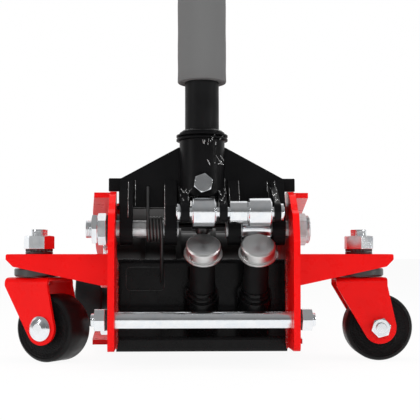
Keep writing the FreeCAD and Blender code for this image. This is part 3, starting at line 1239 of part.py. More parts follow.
def saddle_knuckle():
    """Cast knuckle: cross barrel for the arm pin, lower ear for the links and a post for the saddle."""
    low = KNUCKLE + LINK_SHIFT
    post_y = KNUCKLE.y + SADDLE_AHEAD
    barrel = cross_rod(-KNUCKLE_HALF, KNUCKLE_HALF, KNUCKLE.y, KNUCKLE.z, KNUCKLE_R)
    ear = cross_rod(-KNUCKLE_HALF, KNUCKLE_HALF, low.y, low.z, 11.5)
    web = prism_x([(KNUCKLE.y - KNUCKLE_R + 0.5, KNUCKLE.z, 0), (low.y - 11.5, low.z, 0),
                   (low.y + 8, low.z - 7, 0),
                   (post_y, POST_BOTTOM, 0), (post_y, POST_TOP, 0),
                   (KNUCKLE.y, KNUCKLE.z + KNUCKLE_R - 0.5, 0)],
                  -POST_R + 2, POST_R - 2)
    post = rod(Vector(0, post_y, POST_BOTTOM), Z_AXIS, POST_R, POST_TOP - POST_BOTTOM)
    body = barrel.fuse([ear, web, post])
    cuts = [cross_rod(-60, 60, KNUCKLE.y, KNUCKLE.z, KNUCKLE_PIN_R + RUN),
            cross_rod(-60, 60, low.y, low.z, LINK_BOLT_R + RUN),
            rod(Vector(0, post_y, POST_BOTTOM - 20), Z_AXIS, SADDLE_STEM_R + RUN, 80)]
    return body.cut(cuts)


def saddle():
    """Lifting saddle: dished plate on a stem, with a rim split into four teeth."""
    base = Vector(0, KNUCKLE.y + SADDLE_AHEAD, 0)
    profile = [(POST_BOTTOM + 1, 0), (POST_BOTTOM + 1, SADDLE_STEM_R - 1.5),
               (POST_BOTTOM + 2.5, SADDLE_STEM_R),
               (SADDLE_BOTTOM, SADDLE_STEM_R), (SADDLE_BOTTOM, SADDLE_R - 6), (SADDLE_BOTTOM + 4, SADDLE_R),
               (SADDLE_TOP, SADDLE_R), (SADDLE_TOP, SADDLE_R - SADDLE_RIM_T + 1),
               (SADDLE_FLOOR, SADDLE_R - SADDLE_RIM_T - 1), (SADDLE_FLOOR, 0)]
    plate = turned(profile, base, Z_AXIS)
    gaps = []
    for index in range(SADDLE_TEETH // 2):
        gap = block(-SADDLE_R - 5, SADDLE_R + 5, base.y - SADDLE_GAP_W / 2, base.y + SADDLE_GAP_W / 2,
                    SADDLE_FLOOR + 2, SADDLE_TOP + 5)
        gap.rotate(base, Z_AXIS, 45 + index * 90)
        gaps.append(gap)
    ring = rod(base + Z_AXIS * (SADDLE_FLOOR + 2), Z_AXIS, SADDLE_R - SADDLE_RIM_T - 1.2, 30)
    return plate.cut([gap.cut(ring) for gap in gaps])


def return_spring(x):
    """Arm return spring, as a plain sleeve between its hooks, drawn at rest."""
    y0, y1 = HOOK_Y + HOOK_R + GAP, RAM_PIN.y - RAM_PIN_R - GAP
    sleeve = rod(Vector(x, y0, RAM_PIN.z), Y_AXIS, RETURN_SPRING_R, y1 - y0)
    return sleeve.cut(rod(Vector(x, y0, RAM_PIN.z), Y_AXIS, RETURN_SPRING_R - RETURN_SPRING_WALL, y1 - y0))


def chamfered_rod(x0, x1, y, z, radius):
    """Shaft along X with chamfered ends."""
    body = cross_rod(x0, x1, y, z, radius)
    ends = [edge for edge in body.Edges if edge.Curve.TypeId == "Part::GeomCircle"]
    return body.makeChamfer(1.0, ends)


def write_frame():
    """Chassis pieces."""
    plate = side_plate()
    write("left_side_plate", mirrored(plate))
    write("right_side_plate", plate)
    arm = outrigger()
    write("left_outrigger", mirrored(arm))
    write("right_outrigger", arm)
    write("rear_tie_rod", tie_rod())
    write("tie_rod_nuts", tie_rod_nuts())
    write("frame_washers", frame_washers())
    write("front_axle", chamfered_rod(-AXLE_HALF, AXLE_HALF, AXLE_Y, AXLE_Z, AXLE_R))
    write("snap_rings", snap_rings())
    write("top_cover", top_cover())
    write("cover_screws", cover_screws())
    write("pivot_bolts", pivot_bolts())
    write("pivot_nuts", pivot_nuts())
    shaft_end = plate_face(ARM_PIVOT_Y) + 5
    write("arm_shaft", chamfered_rod(-shaft_end, shaft_end, ARM_PIVOT_Y, ARM_PIVOT_Z, ARM_PIVOT_R))
    bolt = link_anchor_bolt()
    write("link_anchor_bolts", [bolt, mirrored(bolt)])


def write_casters():
    """Rear casters and front wheels."""
    write("caster_stems", [caster_stem(-CASTER_X), caster_stem(CASTER_X)])
    write("caster_stem_nuts", [caster_stem_nut(side * CASTER_X, turn)
                               for side, turn in zip((-1, 1), STEM_NUT_TURNS)])
    write("caster_races", [caster_race(-CASTER_X), caster_race(CASTER_X)])
    sides = (("left", -CASTER_X, LEFT_TRAIL_DEG, -1), ("right", CASTER_X, RIGHT_TRAIL_DEG, 1))
    for name, x, degrees, head_side in sides:
        write(name + "_caster_fork", caster_fork(x, degrees))
        write(name + "_caster_axle", caster_axle(x, degrees, head_side))
        write(name + "_caster_wheel", caster_wheel(x, degrees))
    wheel = front_wheel()
    write("left_front_wheel", mirrored(wheel))
    write("right_front_wheel", wheel)


def write_power_unit():
    """Hydraulic unit, pumps and release valve."""
    write("power_block", power_block())
    write("block_bolts", block_bolts())
    for name, x in zip(("main", "second"), PUMP_XS):
        write(name + "_pump_piston", pump_piston(x))
        write(name + "_pump_barrel", pump_barrel(x))
        write(name + "_pump_spring", pump_spring(x))
    write("release_valve", release_valve())
    write("reservoir", reservoir())
    write("filler_plug", filler_plug())
    write("gland_nut", gland_nut())
    write("ram", ram())


def write_handle():
    """Yoke, rollers and handle."""
    write("handle_yoke", handle_yoke())
    write("clamp_bolt", clamp_bolt())
    write("roller_shaft", roller_shaft())
    for name, (x0, x1) in zip(("left", "right"), ROLLER_XS):
        write(name + "_roller", pump_roller(x0, x1))
    write("yoke_spacers", yoke_spacers())
    write("handle_spring", handle_spring())
    write("lower_handle_tube", lower_handle_tube())
    write("upper_handle_tube", upper_handle_tube())
    write("foam_sleeve", foam_sleeve())
    write("hand_grip", hand_grip())
    write("handle_button", handle_button())
    write("release_cup", release_cup())


def write_lift():
    """Lift arm, links, knuckle and saddle."""
    write("lift_arm", lift_arm())
    write("ram_pin", chamfered_rod(-RAM_PIN_HALF, RAM_PIN_HALF, RAM_PIN.y, RAM_PIN.z, RAM_PIN_R))
    write("knuckle_pin", chamfered_rod(-ARM_FRONT_HALF - 2, ARM_FRONT_HALF + 2, KNUCKLE.y, KNUCKLE.z,
                                       KNUCKLE_PIN_R))
    link = level_link()
    write("level_links", [link, mirrored(link)])
    bolt = link_bolt()
    write("link_bolts", [bolt, mirrored(bolt)])
    write("saddle_knuckle", saddle_knuckle())
    write("saddle", saddle())
    write("return_springs", [return_spring(-RETURN_SPRING_X), return_spring(RETURN_SPRING_X)])


write_frame()
write_casters()
write_power_unit()
write_handle()
write_lift()
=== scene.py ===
"""Looks of a low trolley jack: finishes for its solid pieces, and the fine pieces laid over them.

Lengths are in metres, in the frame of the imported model: X to the right seen from behind
the handle, Y forward to the saddle, Z up from the floor.
"""

import json
import logging
import math
import random
from dataclasses import dataclass
from enum import Enum
from typing import Callable, Optional, Sequence

import bmesh
import bpy
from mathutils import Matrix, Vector
from mathutils.bvhtree import BVHTree

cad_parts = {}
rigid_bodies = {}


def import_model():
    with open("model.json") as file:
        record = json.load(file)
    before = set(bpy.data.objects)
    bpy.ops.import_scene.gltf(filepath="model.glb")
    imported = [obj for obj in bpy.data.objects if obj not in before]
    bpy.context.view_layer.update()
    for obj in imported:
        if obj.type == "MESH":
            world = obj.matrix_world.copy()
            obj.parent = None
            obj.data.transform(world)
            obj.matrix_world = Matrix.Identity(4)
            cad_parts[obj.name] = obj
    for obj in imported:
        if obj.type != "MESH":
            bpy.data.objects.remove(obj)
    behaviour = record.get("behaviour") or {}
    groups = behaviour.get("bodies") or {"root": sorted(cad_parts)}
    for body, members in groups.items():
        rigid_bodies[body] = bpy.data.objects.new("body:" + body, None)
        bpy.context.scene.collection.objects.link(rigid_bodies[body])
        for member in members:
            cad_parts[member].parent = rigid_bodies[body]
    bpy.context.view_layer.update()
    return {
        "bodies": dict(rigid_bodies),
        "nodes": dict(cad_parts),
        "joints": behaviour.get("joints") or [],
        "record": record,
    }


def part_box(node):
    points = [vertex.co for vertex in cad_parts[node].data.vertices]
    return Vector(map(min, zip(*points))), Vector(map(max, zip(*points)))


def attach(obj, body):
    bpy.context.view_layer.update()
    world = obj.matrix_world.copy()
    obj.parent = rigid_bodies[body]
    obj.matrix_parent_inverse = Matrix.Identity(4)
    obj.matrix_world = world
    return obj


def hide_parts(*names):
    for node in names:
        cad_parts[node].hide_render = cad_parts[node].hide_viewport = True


LOG = logging.getLogger("jack")
MM = 0.001
RIM_SHARE = 0.86
CORE_SHARE = 0.8

Triple = tuple[float, float, float]
Colour = Triple
Socket = bpy.types.NodeSocket
Inputs = dict[str | int, object]
Profile = Sequence[tuple[float, float]]

X_AXIS = Vector((1, 0, 0))
Y_AXIS = Vector((0, 1, 0))
Z_AXIS = Vector((0, 0, 1))


class Slot(Enum):
    """Material slots of the model's record."""

    RED = "red_paint"
    ZINC = "zinc"
    OXIDE = "black_oxide"
    BLACK = "black_enamel"
    WHEEL = "wheel_black"
    FOAM = "grey_foam"
    RUBBER = "grip_rubber"
    SPRING = "spring_steel"


class Graph:
    """Node tree of a material or of the world, with one short call for each kind of node."""

    def __init__(self, owner: bpy.types.ID) -> None:
        """Start the tree.

        Args:
            owner: New material or world.
        """
        owner.use_nodes = True
        self.owner = owner
        self.tree = owner.node_tree
        self.shader = self.tree.nodes.get("Principled BSDF") or self.tree.nodes["Background"]
        self.spots = self.tree.nodes.new("ShaderNodeTexCoord").outputs
        self.place: Socket = self.spots["Object"]

    def fill(self, node: bpy.types.Node, inputs: Inputs) -> None:
        """Link a node's inputs, or set them where the value is a plain one.

        Args:
            node: The node.
            inputs: Sockets, numbers or vectors by the inputs' names or places.
        """
        for key, value in inputs.items():
            if isinstance(value, bpy.types.NodeSocket):
                self.tree.links.new(value, node.inputs[key])
            else:
                node.inputs[key].default_value = value

    def add(self, kind: str, output: str | int, inputs: Inputs, **settings: object) -> Socket:
        """Add a node with its inputs filled.

        Args:
            kind: Blender's name of the node's type.
            output: Name or place of the output to take.
            inputs: What fill takes.
            settings: Attributes to set on it.

        Returns:
            The output.
        """
        made = self.tree.nodes.new(kind)
        for key, value in settings.items():
            setattr(made, key, value)
        self.fill(made, inputs)
        return made.outputs[output]

    def noise(self, size: float, detail: float = 3.0) -> Socket:
        """Noise over the piece from 0 to 1, with blotches of a size in metres and so many octaves."""
        return self.add("ShaderNodeTexNoise", "Fac",
                        {"Vector": self.place, "Scale": 1 / size, "Detail": detail})

    def cells(self, size: float) -> Socket:
        """Distance to the nearest cell's middle, from 0 to about 1 at its edge, for pores."""
        return self.add("ShaderNodeTexVoronoi", "Distance", {"Vector": self.place, "Scale": 1 / size})

    def spread(self, value: Socket, low: float, high: float, start: float = 0.3, stop: float = 0.7,
               ease: str = "LINEAR") -> Socket:
        """Map a value to a range: low where it is at start or under, high at stop or over."""
        return self.add("ShaderNodeMapRange", "Result",
                        {"Value": value, "From Min": start, "From Max": stop, "To Min": low, "To Max": high},
                        interpolation_type=ease)

    def blend(self, factor: Socket, first: object, second: object) -> Socket:
        """Mix two colours.

        Args:
            factor: 0 for the first, 1 for the second.
            first: Colour or socket.
            second: Colour or socket.

        Returns:
            The mixed colour.
        """
        first, second = ((*shade, 1.0) if isinstance(shade, tuple) else shade for shade in (first, second))
        return self.add("ShaderNodeMix", 2, {"Factor": factor, 6: first, 7: second}, data_type="RGBA")

    def maths(self, operation: str, first: object, second: object = 0.0) -> Socket:
        """Work out two values by an operation that has one of Blender's names."""
        return self.add("ShaderNodeMath", 0, {0: first, 1: second}, operation=operation)

    def vector(self, operation: str, first: object, second: object = (0, 0, 0),
               output: str = "Vector") -> Socket:
        """Work out two vectors by an operation that has one of Blender's names."""
        return self.add("ShaderNodeVectorMath", output, {0: first, 1: second}, operation=operation)

    def about(self, point: Triple, axis: Triple) -> tuple[Socket, Socket, Socket]:
        """Where the surface lies about an axis.

        Args:
            point: A point on the axis.
            axis: Direction of the axis.

        Returns:
            Distance from the axis, distance along it, and the direction round it.
        """
        offset = self.vector("SUBTRACT", self.place, point)
        across = self.vector("CROSS_PRODUCT", axis, offset)
        away = self.vector("LENGTH", across, output="Value")
        along = self.vector("DOT_PRODUCT", offset, axis, "Value")
        return away, along, self.vector("NORMALIZE", across)

    def relief(self, height: Socket, depth: float, edge: float) -> Socket:
        """Normal of a fine relief over softened edges, its depth and their radius in metres."""
        rounded = self.add("ShaderNodeBevel", "Normal", {"Radius": edge}, samples=8)
        return self.add("ShaderNodeBump", "Normal", {"Distance": depth, "Height": height, "Normal": rounded})


@dataclass(frozen=True)
class Finish:
    """A surface: colour with a slow drift, gloss that varies, fine relief and softened edges."""

    name: str
    colour: Colour
    drift: Colour
    roughness: tuple[float, float]
    metallic: float = 0.0
    coat: float = 0.0
    coat_roughness: float = 0.06
    specular: float = 0.5
    drift_size: float = 25 * MM
    gloss_size: float = 9 * MM
    grain_size: float = 1.6 * MM
    grain_depth: float = 0.012 * MM
    edge: float = 0.6 * MM

    def grain(self, graph: Graph) -> Socket:
        """Height of the fine relief, from 0 to 1."""
        return graph.noise(self.grain_size, 2.0)

    def tint(self, graph: Graph) -> Socket:
        """Colour of the surface."""
        return graph.blend(graph.spread(graph.noise(self.drift_size), 0.0, 1.0), self.colour, self.drift)

    def finish_off(self, graph: Graph) -> None:
        """Anything that only this finish has."""

    def make(self) -> bpy.types.Material:
        """Build the material.

        Returns:
            The material, made once and shared by name.
        """
        known = bpy.data.materials.get(self.name)
        if known is not None:
            return known
        graph = Graph(bpy.data.materials.new(self.name))
        graph.fill(graph.shader, {
            "Base Color": self.tint(graph),
            "Roughness": graph.spread(graph.noise(self.gloss_size), *self.roughness),
            "Metallic": self.metallic, "Specular IOR Level": self.specular,
            "Coat Weight": self.coat, "Coat Roughness": self.coat_roughness,
            "Normal": graph.relief(self.grain(graph), self.grain_depth, self.edge)})
        self.finish_off(graph)
        return graph.owner


@dataclass(frozen=True)
class Enamel(Finish):
    """Sprayed enamel: a clear gloss over colour, with the faint waves of a sprayed film."""

    wave_size: float = 5 * MM

    def grain(self, graph: Graph) -> Socket:
        """Film waves with a little fine peel."""
        fine = graph.noise(self.grain_size, 2.0)
        return graph.maths("ADD", graph.noise(self.wave_size, 1.0), graph.maths("MULTIPLY", fine, 0.3))


@dataclass(frozen=True)
class CastEnamel(Enamel):
    """Enamel over a sand casting, whose grain shows through the gloss."""

    lump_size: float = 2.2 * MM

    def grain(self, graph: Graph) -> Socket:
        """Sand grain, stronger in broad patches.

        Args:
            graph: Tree to add to.

        Returns:
            Its height, from 0 to about 1.
        """
        patches = graph.spread(graph.noise(18 * MM, 1.0), 0.15, 1.0, 0.4, 0.65)
        lumps = graph.maths("MULTIPLY", graph.noise(self.lump_size, 4.0), patches)
        return graph.maths("ADD", lumps, graph.maths("MULTIPLY", graph.noise(self.wave_size, 1.0), 0.3))


@dataclass(frozen=True)
class Plating(Finish):
    """Bright zinc plating with slight blue and straw clouds."""

    cloud: Colour = (0.80, 0.85, 0.90)

    def tint(self, graph: Graph) -> Socket:
        """Silver, with a pale blue cloud here and there."""
        clouds = graph.spread(graph.noise(6 * MM, 4.0), 0.0, 0.7, 0.45, 0.75)
        return graph.blend(clouds, super().tint(graph), self.cloud)


@dataclass(frozen=True)
class Turned(Finish):
    """Lathe-turned metal: fine rings about an axis, which spread a highlight into a fan."""

    point: Triple = (0.0, 0.0, 0.0)
    axis: Triple = (0.0, 0.0, 1.0)
    ring: float = 0.35 * MM
    fan: float = 0.6

    def grain(self, graph: Graph) -> Socket:
        """Rings of uneven depth.

        Args:
            graph: Tree to add to.

        Returns:
            Their height, from 0 to 1.
        """
        away, along, _ = graph.about(self.point, self.axis)
        station = graph.maths("DIVIDE", graph.maths("ADD", away, along), self.ring)
        return graph.add("ShaderNodeTexNoise", "Fac", {"W": station, "Scale": 1.0, "Detail": 2.0},
                         noise_dimensions="1D")

    def finish_off(self, graph: Graph) -> None:
        """Stretch highlights across the rings."""
        _, _, around = graph.about(self.point, self.axis)
        graph.fill(graph.shader, {"Anisotropic": self.fan, "Tangent": around})


@dataclass(frozen=True)
class Foam(Finish):
    """Closed-cell foam: matt, with fine pores and a pale bloom at grazing angles."""

    pore: float = 0.9 * MM

    def grain(self, graph: Graph) -> Socket:
        """Pores over a slow unevenness."""
        pores = graph.maths("MULTIPLY", graph.cells(self.pore), 0.7)
        return graph.maths("ADD", pores, graph.noise(4 * MM, 3.0))

    def finish_off(self, graph: Graph) -> None:
        """A soft sheen."""
        graph.fill(graph.shader, {"Sheen Weight": 0.05, "Sheen Roughness": 0.6})


RED = Enamel("red_enamel", (0.78, 0.003, 0.003), (0.74, 0.003, 0.003), (0.26, 0.32), specular=0.14,
             coat=0.05, grain_depth=0.001 * MM, edge=0.4 * MM)
BLACK = Enamel("black_enamel", (0.0030, 0.0030, 0.0033), (0.0045, 0.0045, 0.0050), (0.16, 0.26),
               specular=0.13, coat=0.06, grain_depth=0.012 * MM, edge=0.9 * MM)
CAST_BLACK = CastEnamel("cast_black_enamel", (0.0030, 0.0030, 0.0033), (0.0050, 0.0050, 0.0055), (0.18, 0.30),
                        specular=0.13, coat=0.06, grain_depth=0.08 * MM, edge=1.0 * MM)
YOKE_BLACK = CastEnamel("yoke_enamel", (0.0030, 0.0030, 0.0033), (0.0045, 0.0045, 0.0050), (0.34, 0.46),
                        specular=0.10, grain_depth=0.05 * MM, edge=0.9 * MM)
WELD_BLACK = CastEnamel("weld_black_enamel", (0.005, 0.005, 0.0055), (0.009, 0.009, 0.009), (0.08, 0.16),
                        specular=0.6, coat=0.6, grain_depth=0.15 * MM, edge=0.4 * MM)
# Bright metal broken by dark noise: painted highlights that stand in for glints on the yoke's glossy black
# edges and weld patches
GLINT = CastEnamel("painted_glint_weld", (0.95, 0.95, 0.95), (0.06, 0.06, 0.06), (0.14, 0.24), metallic=0.95,
                   drift_size=2.5 * MM, grain_depth=0.05 * MM, edge=0.3 * MM)
# Darker, glossier copy of the red enamel for the beads in the inner corners by the power block: the gloss is
# real, the darker red is painted shade
SHADED_CORNER_RED = Enamel("shaded_corner_red", (0.45, 0.01, 0.008), (0.30, 0.006, 0.005), (0.10, 0.20), specular=0.5,
                 coat=0.4, grain_depth=0.05 * MM, edge=0.3 * MM)
SATIN_BLACK = Enamel("satin_black_enamel", (0.0045, 0.0045, 0.0048), (0.0075, 0.0075, 0.0080), (0.42, 0.56),
                     specular=0.12, grain_depth=0.015 * MM, edge=0.8 * MM)
ZINC = Plating("zinc_plating", (0.92, 0.94, 0.96), (0.87, 0.89, 0.91), (0.14, 0.24), metallic=1.0,
               drift_size=14 * MM, grain_size=0.9 * MM, grain_depth=0.003 * MM, edge=0.6 * MM)
FORGED = Plating("forged_zinc", (0.72, 0.72, 0.72), (0.55, 0.55, 0.55), (0.30, 0.46), metallic=1.0,
                 drift_size=5 * MM, grain_size=1.6 * MM, grain_depth=0.25 * MM, edge=0.8 * MM)
OXIDE = Finish("black_oxide", (0.010, 0.010, 0.011), (0.018, 0.017, 0.016), (0.30, 0.45), metallic=0.3,
               specular=0.25, grain_size=0.8 * MM, grain_depth=0.02 * MM)
WHEEL = Finish("wheel_black", (0.0045, 0.0045, 0.0048), (0.0080, 0.0080, 0.0083), (0.34, 0.50), specular=0.16,
               grain_size=1.4 * MM, grain_depth=0.06 * MM, edge=0.8 * MM)
FOAM = Foam("grey_foam", (0.040, 0.040, 0.042), (0.052, 0.052, 0.054), (0.85, 0.95), grain_depth=0.25 * MM,
            drift_size=6 * MM, edge=0.6 * MM)
RUBBER = Finish("grip_rubber", (0.010, 0.010, 0.010), (0.017, 0.017, 0.017), (0.5, 0.7), specular=0.3,
                grain_size=0.5 * MM, grain_depth=0.06 * MM)
SPRING = Finish("spring_steel", (0.12, 0.118, 0.115), (0.06, 0.058, 0.056), (0.18, 0.30), metallic=0.9,
                grain_size=0.7 * MM, grain_depth=0.02 * MM, edge=0.2 * MM)


@dataclass(frozen=True)
class CastWheel(Finish):
    """Painted cast iron: smooth tread, and a coarse sandy ring and web on its faces."""

    point: Triple = (0.0, 0.0, 0.0)
    axis: Triple = (1.0, 0.0, 0.0)
    smooth_from: float = 30 * MM

    def grain(self, graph: Graph) -> Socket:
        """Sand grain inside the tread's edge, and next to none on the tread.

        Args:
            graph: Tree to add to.

        Returns:
            Its height, from 0 to 1.
        """
        away, _, _ = graph.about(self.point, self.axis)
        rough = graph.spread(away, 1.0, 0.12, self.smooth_from - 0.6 * MM, self.smooth_from)
        return graph.maths("MULTIPLY", graph.noise(self.grain_size, 3.0), rough)


def around(side: Vector, across: Vector, angle: float) -> Vector:
    """Unit vector at an angle from the first direction towards the second."""
    return side * math.cos(angle) + across * math.sin(angle)


@dataclass(frozen=True)
class Thread:
    """Screw thread on a stretch of a turned piece."""

    start: float
    stop: float
    pitch: float
    depth: float

    def cut(self, along: float, turn: float) -> float:
        """How deep the thread is at a place.

        Args:
            along: Distance along the axis.
            turn: Turns round the axis, from 0 to 1.

        Returns:
            Depth below the crest, in metres.
        """
        if not self.start <= along <= self.stop:
            return 0.0
        phase = (along / self.pitch - turn) % 1.0
        fade = min(1.0, (along - self.start) / self.pitch, (self.stop - along) / self.pitch + 0.4)
        return self.depth * fade * (1.0 - abs(2.0 * phase - 1.0))


class Shell:
    """A mesh in the making, in the model's frame."""

    def __init__(self, name: str) -> None:
        """Start an empty mesh.

        Args:
            name: Name of the piece.
        """
        self.name = name
        self.points: list[Vector] = []
        self.faces: list[tuple[int, ...]] = []

    def ring(self, points: Sequence[Vector]) -> list[int]:
        """Add a closed ring of points and give their numbers."""
        self.points.extend(points)
        return list(range(len(self.points) - len(points), len(self.points)))

    def skin(self, rings: Sequence[list[int]], closed: bool = False) -> None:
        """Join rings of equal count with quads; a ring of one point is a pole, joined with triangles.

        Args:
            rings: Rings in order.
            closed: Whether the last ring joins the first.
        """
        pairs = list(zip(rings, rings[1:])) + ([(rings[-1], rings[0])] if closed else [])
        for low, high in pairs:
            count = max(len(low), len(high))
            for index in range(count):
                after = (index + 1) % count
                face = (low[index % len(low)], low[after % len(low)],
                        high[after % len(high)], high[index % len(high)])
                self.faces.append(tuple(dict.fromkeys(face)))

    def lathe(self, profile: Profile, origin: Vector, axis: Vector, segments: int = 48,
              thread: Optional[Thread] = None, teeth: int = 0, tooth: float = 0.0) -> None:
        """Turn a profile about an axis.

        Args:
            profile: (along, radius) corners, which close into a ring.
            origin: Point on the axis that along counts from.
            axis: Direction of the axis.
            segments: Points round the axis.
            thread: Thread cut into part of it.
            teeth: Number of teeth round the rim.
            tooth: How deep they are.
        """
        axis = axis.normalized()
        side = axis.orthogonal().normalized()
        across = axis.cross(side)
        rings = []
        for along, radius in self.stations(profile, thread):
            points = []
            for index in range(segments):
                turn = index / segments
                angle = 2 * math.pi * turn
                here = radius - (thread.cut(along, turn) if thread else 0.0)
                if teeth and radius > CORE_SHARE * max(r for _, r in profile):
                    here -= tooth * (0.5 + 0.5 * math.cos(angle * teeth))
                points.append(origin + axis * along + around(side, across, angle) * here)
            rings.append(self.ring(points))
        self.skin(rings, closed=True)

    @staticmethod
    def stations(profile: Profile, thread: Optional[Thread]) -> list[tuple[float, float]]:
        """Profile corners, with close stations where a thread runs.

        Args:
            profile: (along, radius) corners.
            thread: The thread, or None.

        Returns:
            The stations in order.
        """
        found = []
        for (a0, r0), (a1, r1) in zip(profile, profile[1:]):
            found.append((a0, r0))
            if thread and abs(a1 - a0) > thread.pitch:
                steps = math.ceil(abs(a1 - a0) / (thread.pitch / 8))
                found += [(a0 + (a1 - a0) * k / steps, r0 + (r1 - r0) * k / steps) for k in range(1, steps)]
        return found + [profile[-1]]

    def tube(self, path: Sequence[Vector], radius: Callable[[float], float], sides: int = 12) -> None:
        """Sweep a round section along a path, closed at both ends.

        Args:
            path: Points of the path.
            radius: Radius for a share of the path from 0 to 1.
            sides: Points round the section.
        """
        heading = (path[1] - path[0]).normalized()
        side = heading.orthogonal().normalized()
        rings = [self.ring([path[0]])]
        for index, point in enumerate(path):
            before = path[max(index - 1, 0)]
            after = path[min(index + 1, len(path) - 1)]
            heading = (after - before).normalized()
            side = (side - heading * side.dot(heading)).normalized()
            across = heading.cross(side)
            size = radius(index / (len(path) - 1))
            rings.append(self.ring([point + around(side, across, 2 * math.pi * k / sides) * size
                                    for k in range(sides)]))
        rings.append(self.ring([path[-1]]))
        self.skin(rings)

    def bead(self, path: Sequence[Vector], size: float, seed: int, ripple: float = 0.14) -> None:
        """Lay a weld bead: a rippled tube that wanders a little and tapers at its ends.

        Args:
            path: Corners of the seam.
            size: Radius of the bead.
            seed: Start of its random draws.
            ripple: How deep the ripples are, as a share of the radius.
        """
        draw = random.Random(seed)
        spots = [path[0]]
        for start, stop in zip(path, path[1:]):
            steps = max(2, int((stop - start).length / (size * 0.35)))
            spots += [start.lerp(stop, k / steps) for k in range(1, steps + 1)]
        jitter = [Vector((draw.uniform(-1, 1), draw.uniform(-1, 1), draw.uniform(-1, 1))) * size * 0.09
                  for _ in spots]
        swell = [draw.uniform(-0.06, 0.06) for _ in spots]
        count = len(spots) - 1

        def radius(share: float) -> float:
            """Radius along the bead.

            Args:
                share: Share of its length, from 0 to 1.

            Returns:
                The radius there.
            """
            index = min(int(share * count + 0.5), count)
            taper = min(1.0, 0.45 + min(share, 1 - share) * 8)
            return size * taper * (1 + ripple * math.sin(index * 2.1) + swell[index])

        self.tube([spot + push for spot, push in zip(spots, jitter)], radius, 10)

    def build(self, finish: Finish, slot: Slot, sharp: float = 35.0) -> bpy.types.Object:
        """Make the object, dressed.

        Args:
            finish: Finish of the piece.
            slot: The record's slot for it; not used.
            sharp: Edges over this angle in degrees stay sharp.

        Returns:
            The object, in place.
        """
        mesh = bpy.data.meshes.new(self.name)
        mesh.from_pydata([tuple(point) for point in self.points], [], self.faces)
        work = bmesh.new()
        work.from_mesh(mesh)
        bmesh.ops.recalc_face_normals(work, faces=work.faces)
        work.to_mesh(mesh)
        work.free()
        mesh.shade_smooth()
        mesh.set_sharp_from_angle(angle=math.radians(sharp))
        mesh.materials.append(finish.make())
        piece = bpy.data.objects.new(self.name, mesh)
        bpy.context.scene.collection.objects.link(piece)
        LOG.info("built %s in %s, %d faces", self.name, finish.name, len(self.faces))
        return piece


def helix(shell: Shell, start: Vector, axis: Vector, radius: float, length: float, coils: float,
          wire: float) -> None:
    """Wind round wire into a coil.

    Args:
        shell: Mesh to add to.
        start: Point on the coil's axis at its first end.
        axis: Direction of the axis.
        radius: Radius to the middle of the wire.
        length: Length of the coil over its wire.
        coils: Number of turns.
        wire: Radius of the wire.
    """
    side = axis.orthogonal().normalized()
    across = axis.cross(side)
    steps = int(coils * 20)
    path = []
    for step in range(steps + 1):
        angle = 2 * math.pi * coils * step / steps
        along = wire + (length - 2 * wire) * step / steps
        path.append(start + axis * along + around(side, across, angle) * radius)
    shell.tube(path, lambda _: wire, 8)


@dataclass
class SubAssembly:
    """What every sub-assembly shares: the frame and short ways to reach into it."""

    frame: dict

    def joint(self, name: str) -> dict:
        """What the frame says of a joint."""
        return next(joint for joint in self.frame["joints"] if joint["name"] == name)

    def place(self, joint: str) -> Vector:
        """A point on a joint's axis."""
        return Vector(self.joint(joint)["pos_m"])

    def axis(self, joint: str) -> Vector:
        """Unit vector along a joint's axis."""
        return Vector(self.joint(joint)["axis"]).normalized()

    @staticmethod
    def centre(node: str) -> Vector:
        """Middle of a node's box."""
        low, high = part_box(node)
        return (low + high) / 2

    @staticmethod
    def reach(node: str, axis: Vector, radius: float) -> float:
        """Length of a slanted round piece, worked out from its box.

        Args:
            node: The piece's node.
            axis: Its direction, nearest to upright or to Y.
            radius: Its radius.

        Returns:
            Its length along the axis.
        """
        low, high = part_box(node)
        lean = max(abs(axis.z), abs(axis.y))
        span = (high - low).z if abs(axis.z) >= abs(axis.y) else (high - low).y
        return (span - 2 * radius * math.sqrt(max(0.0, 1 - lean * lean))) / lean

    def middle(self) -> float:
        """X of the jack's middle plane, halfway between its casters."""
        return (self.place("left_caster_swivel").x + self.place("right_caster_swivel").x) / 2

    def dress(self, finish: Finish, *names: str) -> None:
        """Give CAD nodes their finish.

        Args:
            finish: Finish for all of them.
            names: Nodes to dress.
        """
        material = finish.make()
        for name in names:
            mesh = self.frame["nodes"][name].data
            mesh.materials.clear()
            mesh.materials.append(material)
            LOG.info("dressed %s in %s", name, finish.name)


@dataclass(frozen=True)
class WasherSize:
    """Sizes of a split washer with a toothed one on top of it."""

    radius: float
    bore: float
    thick: float
    teeth: int


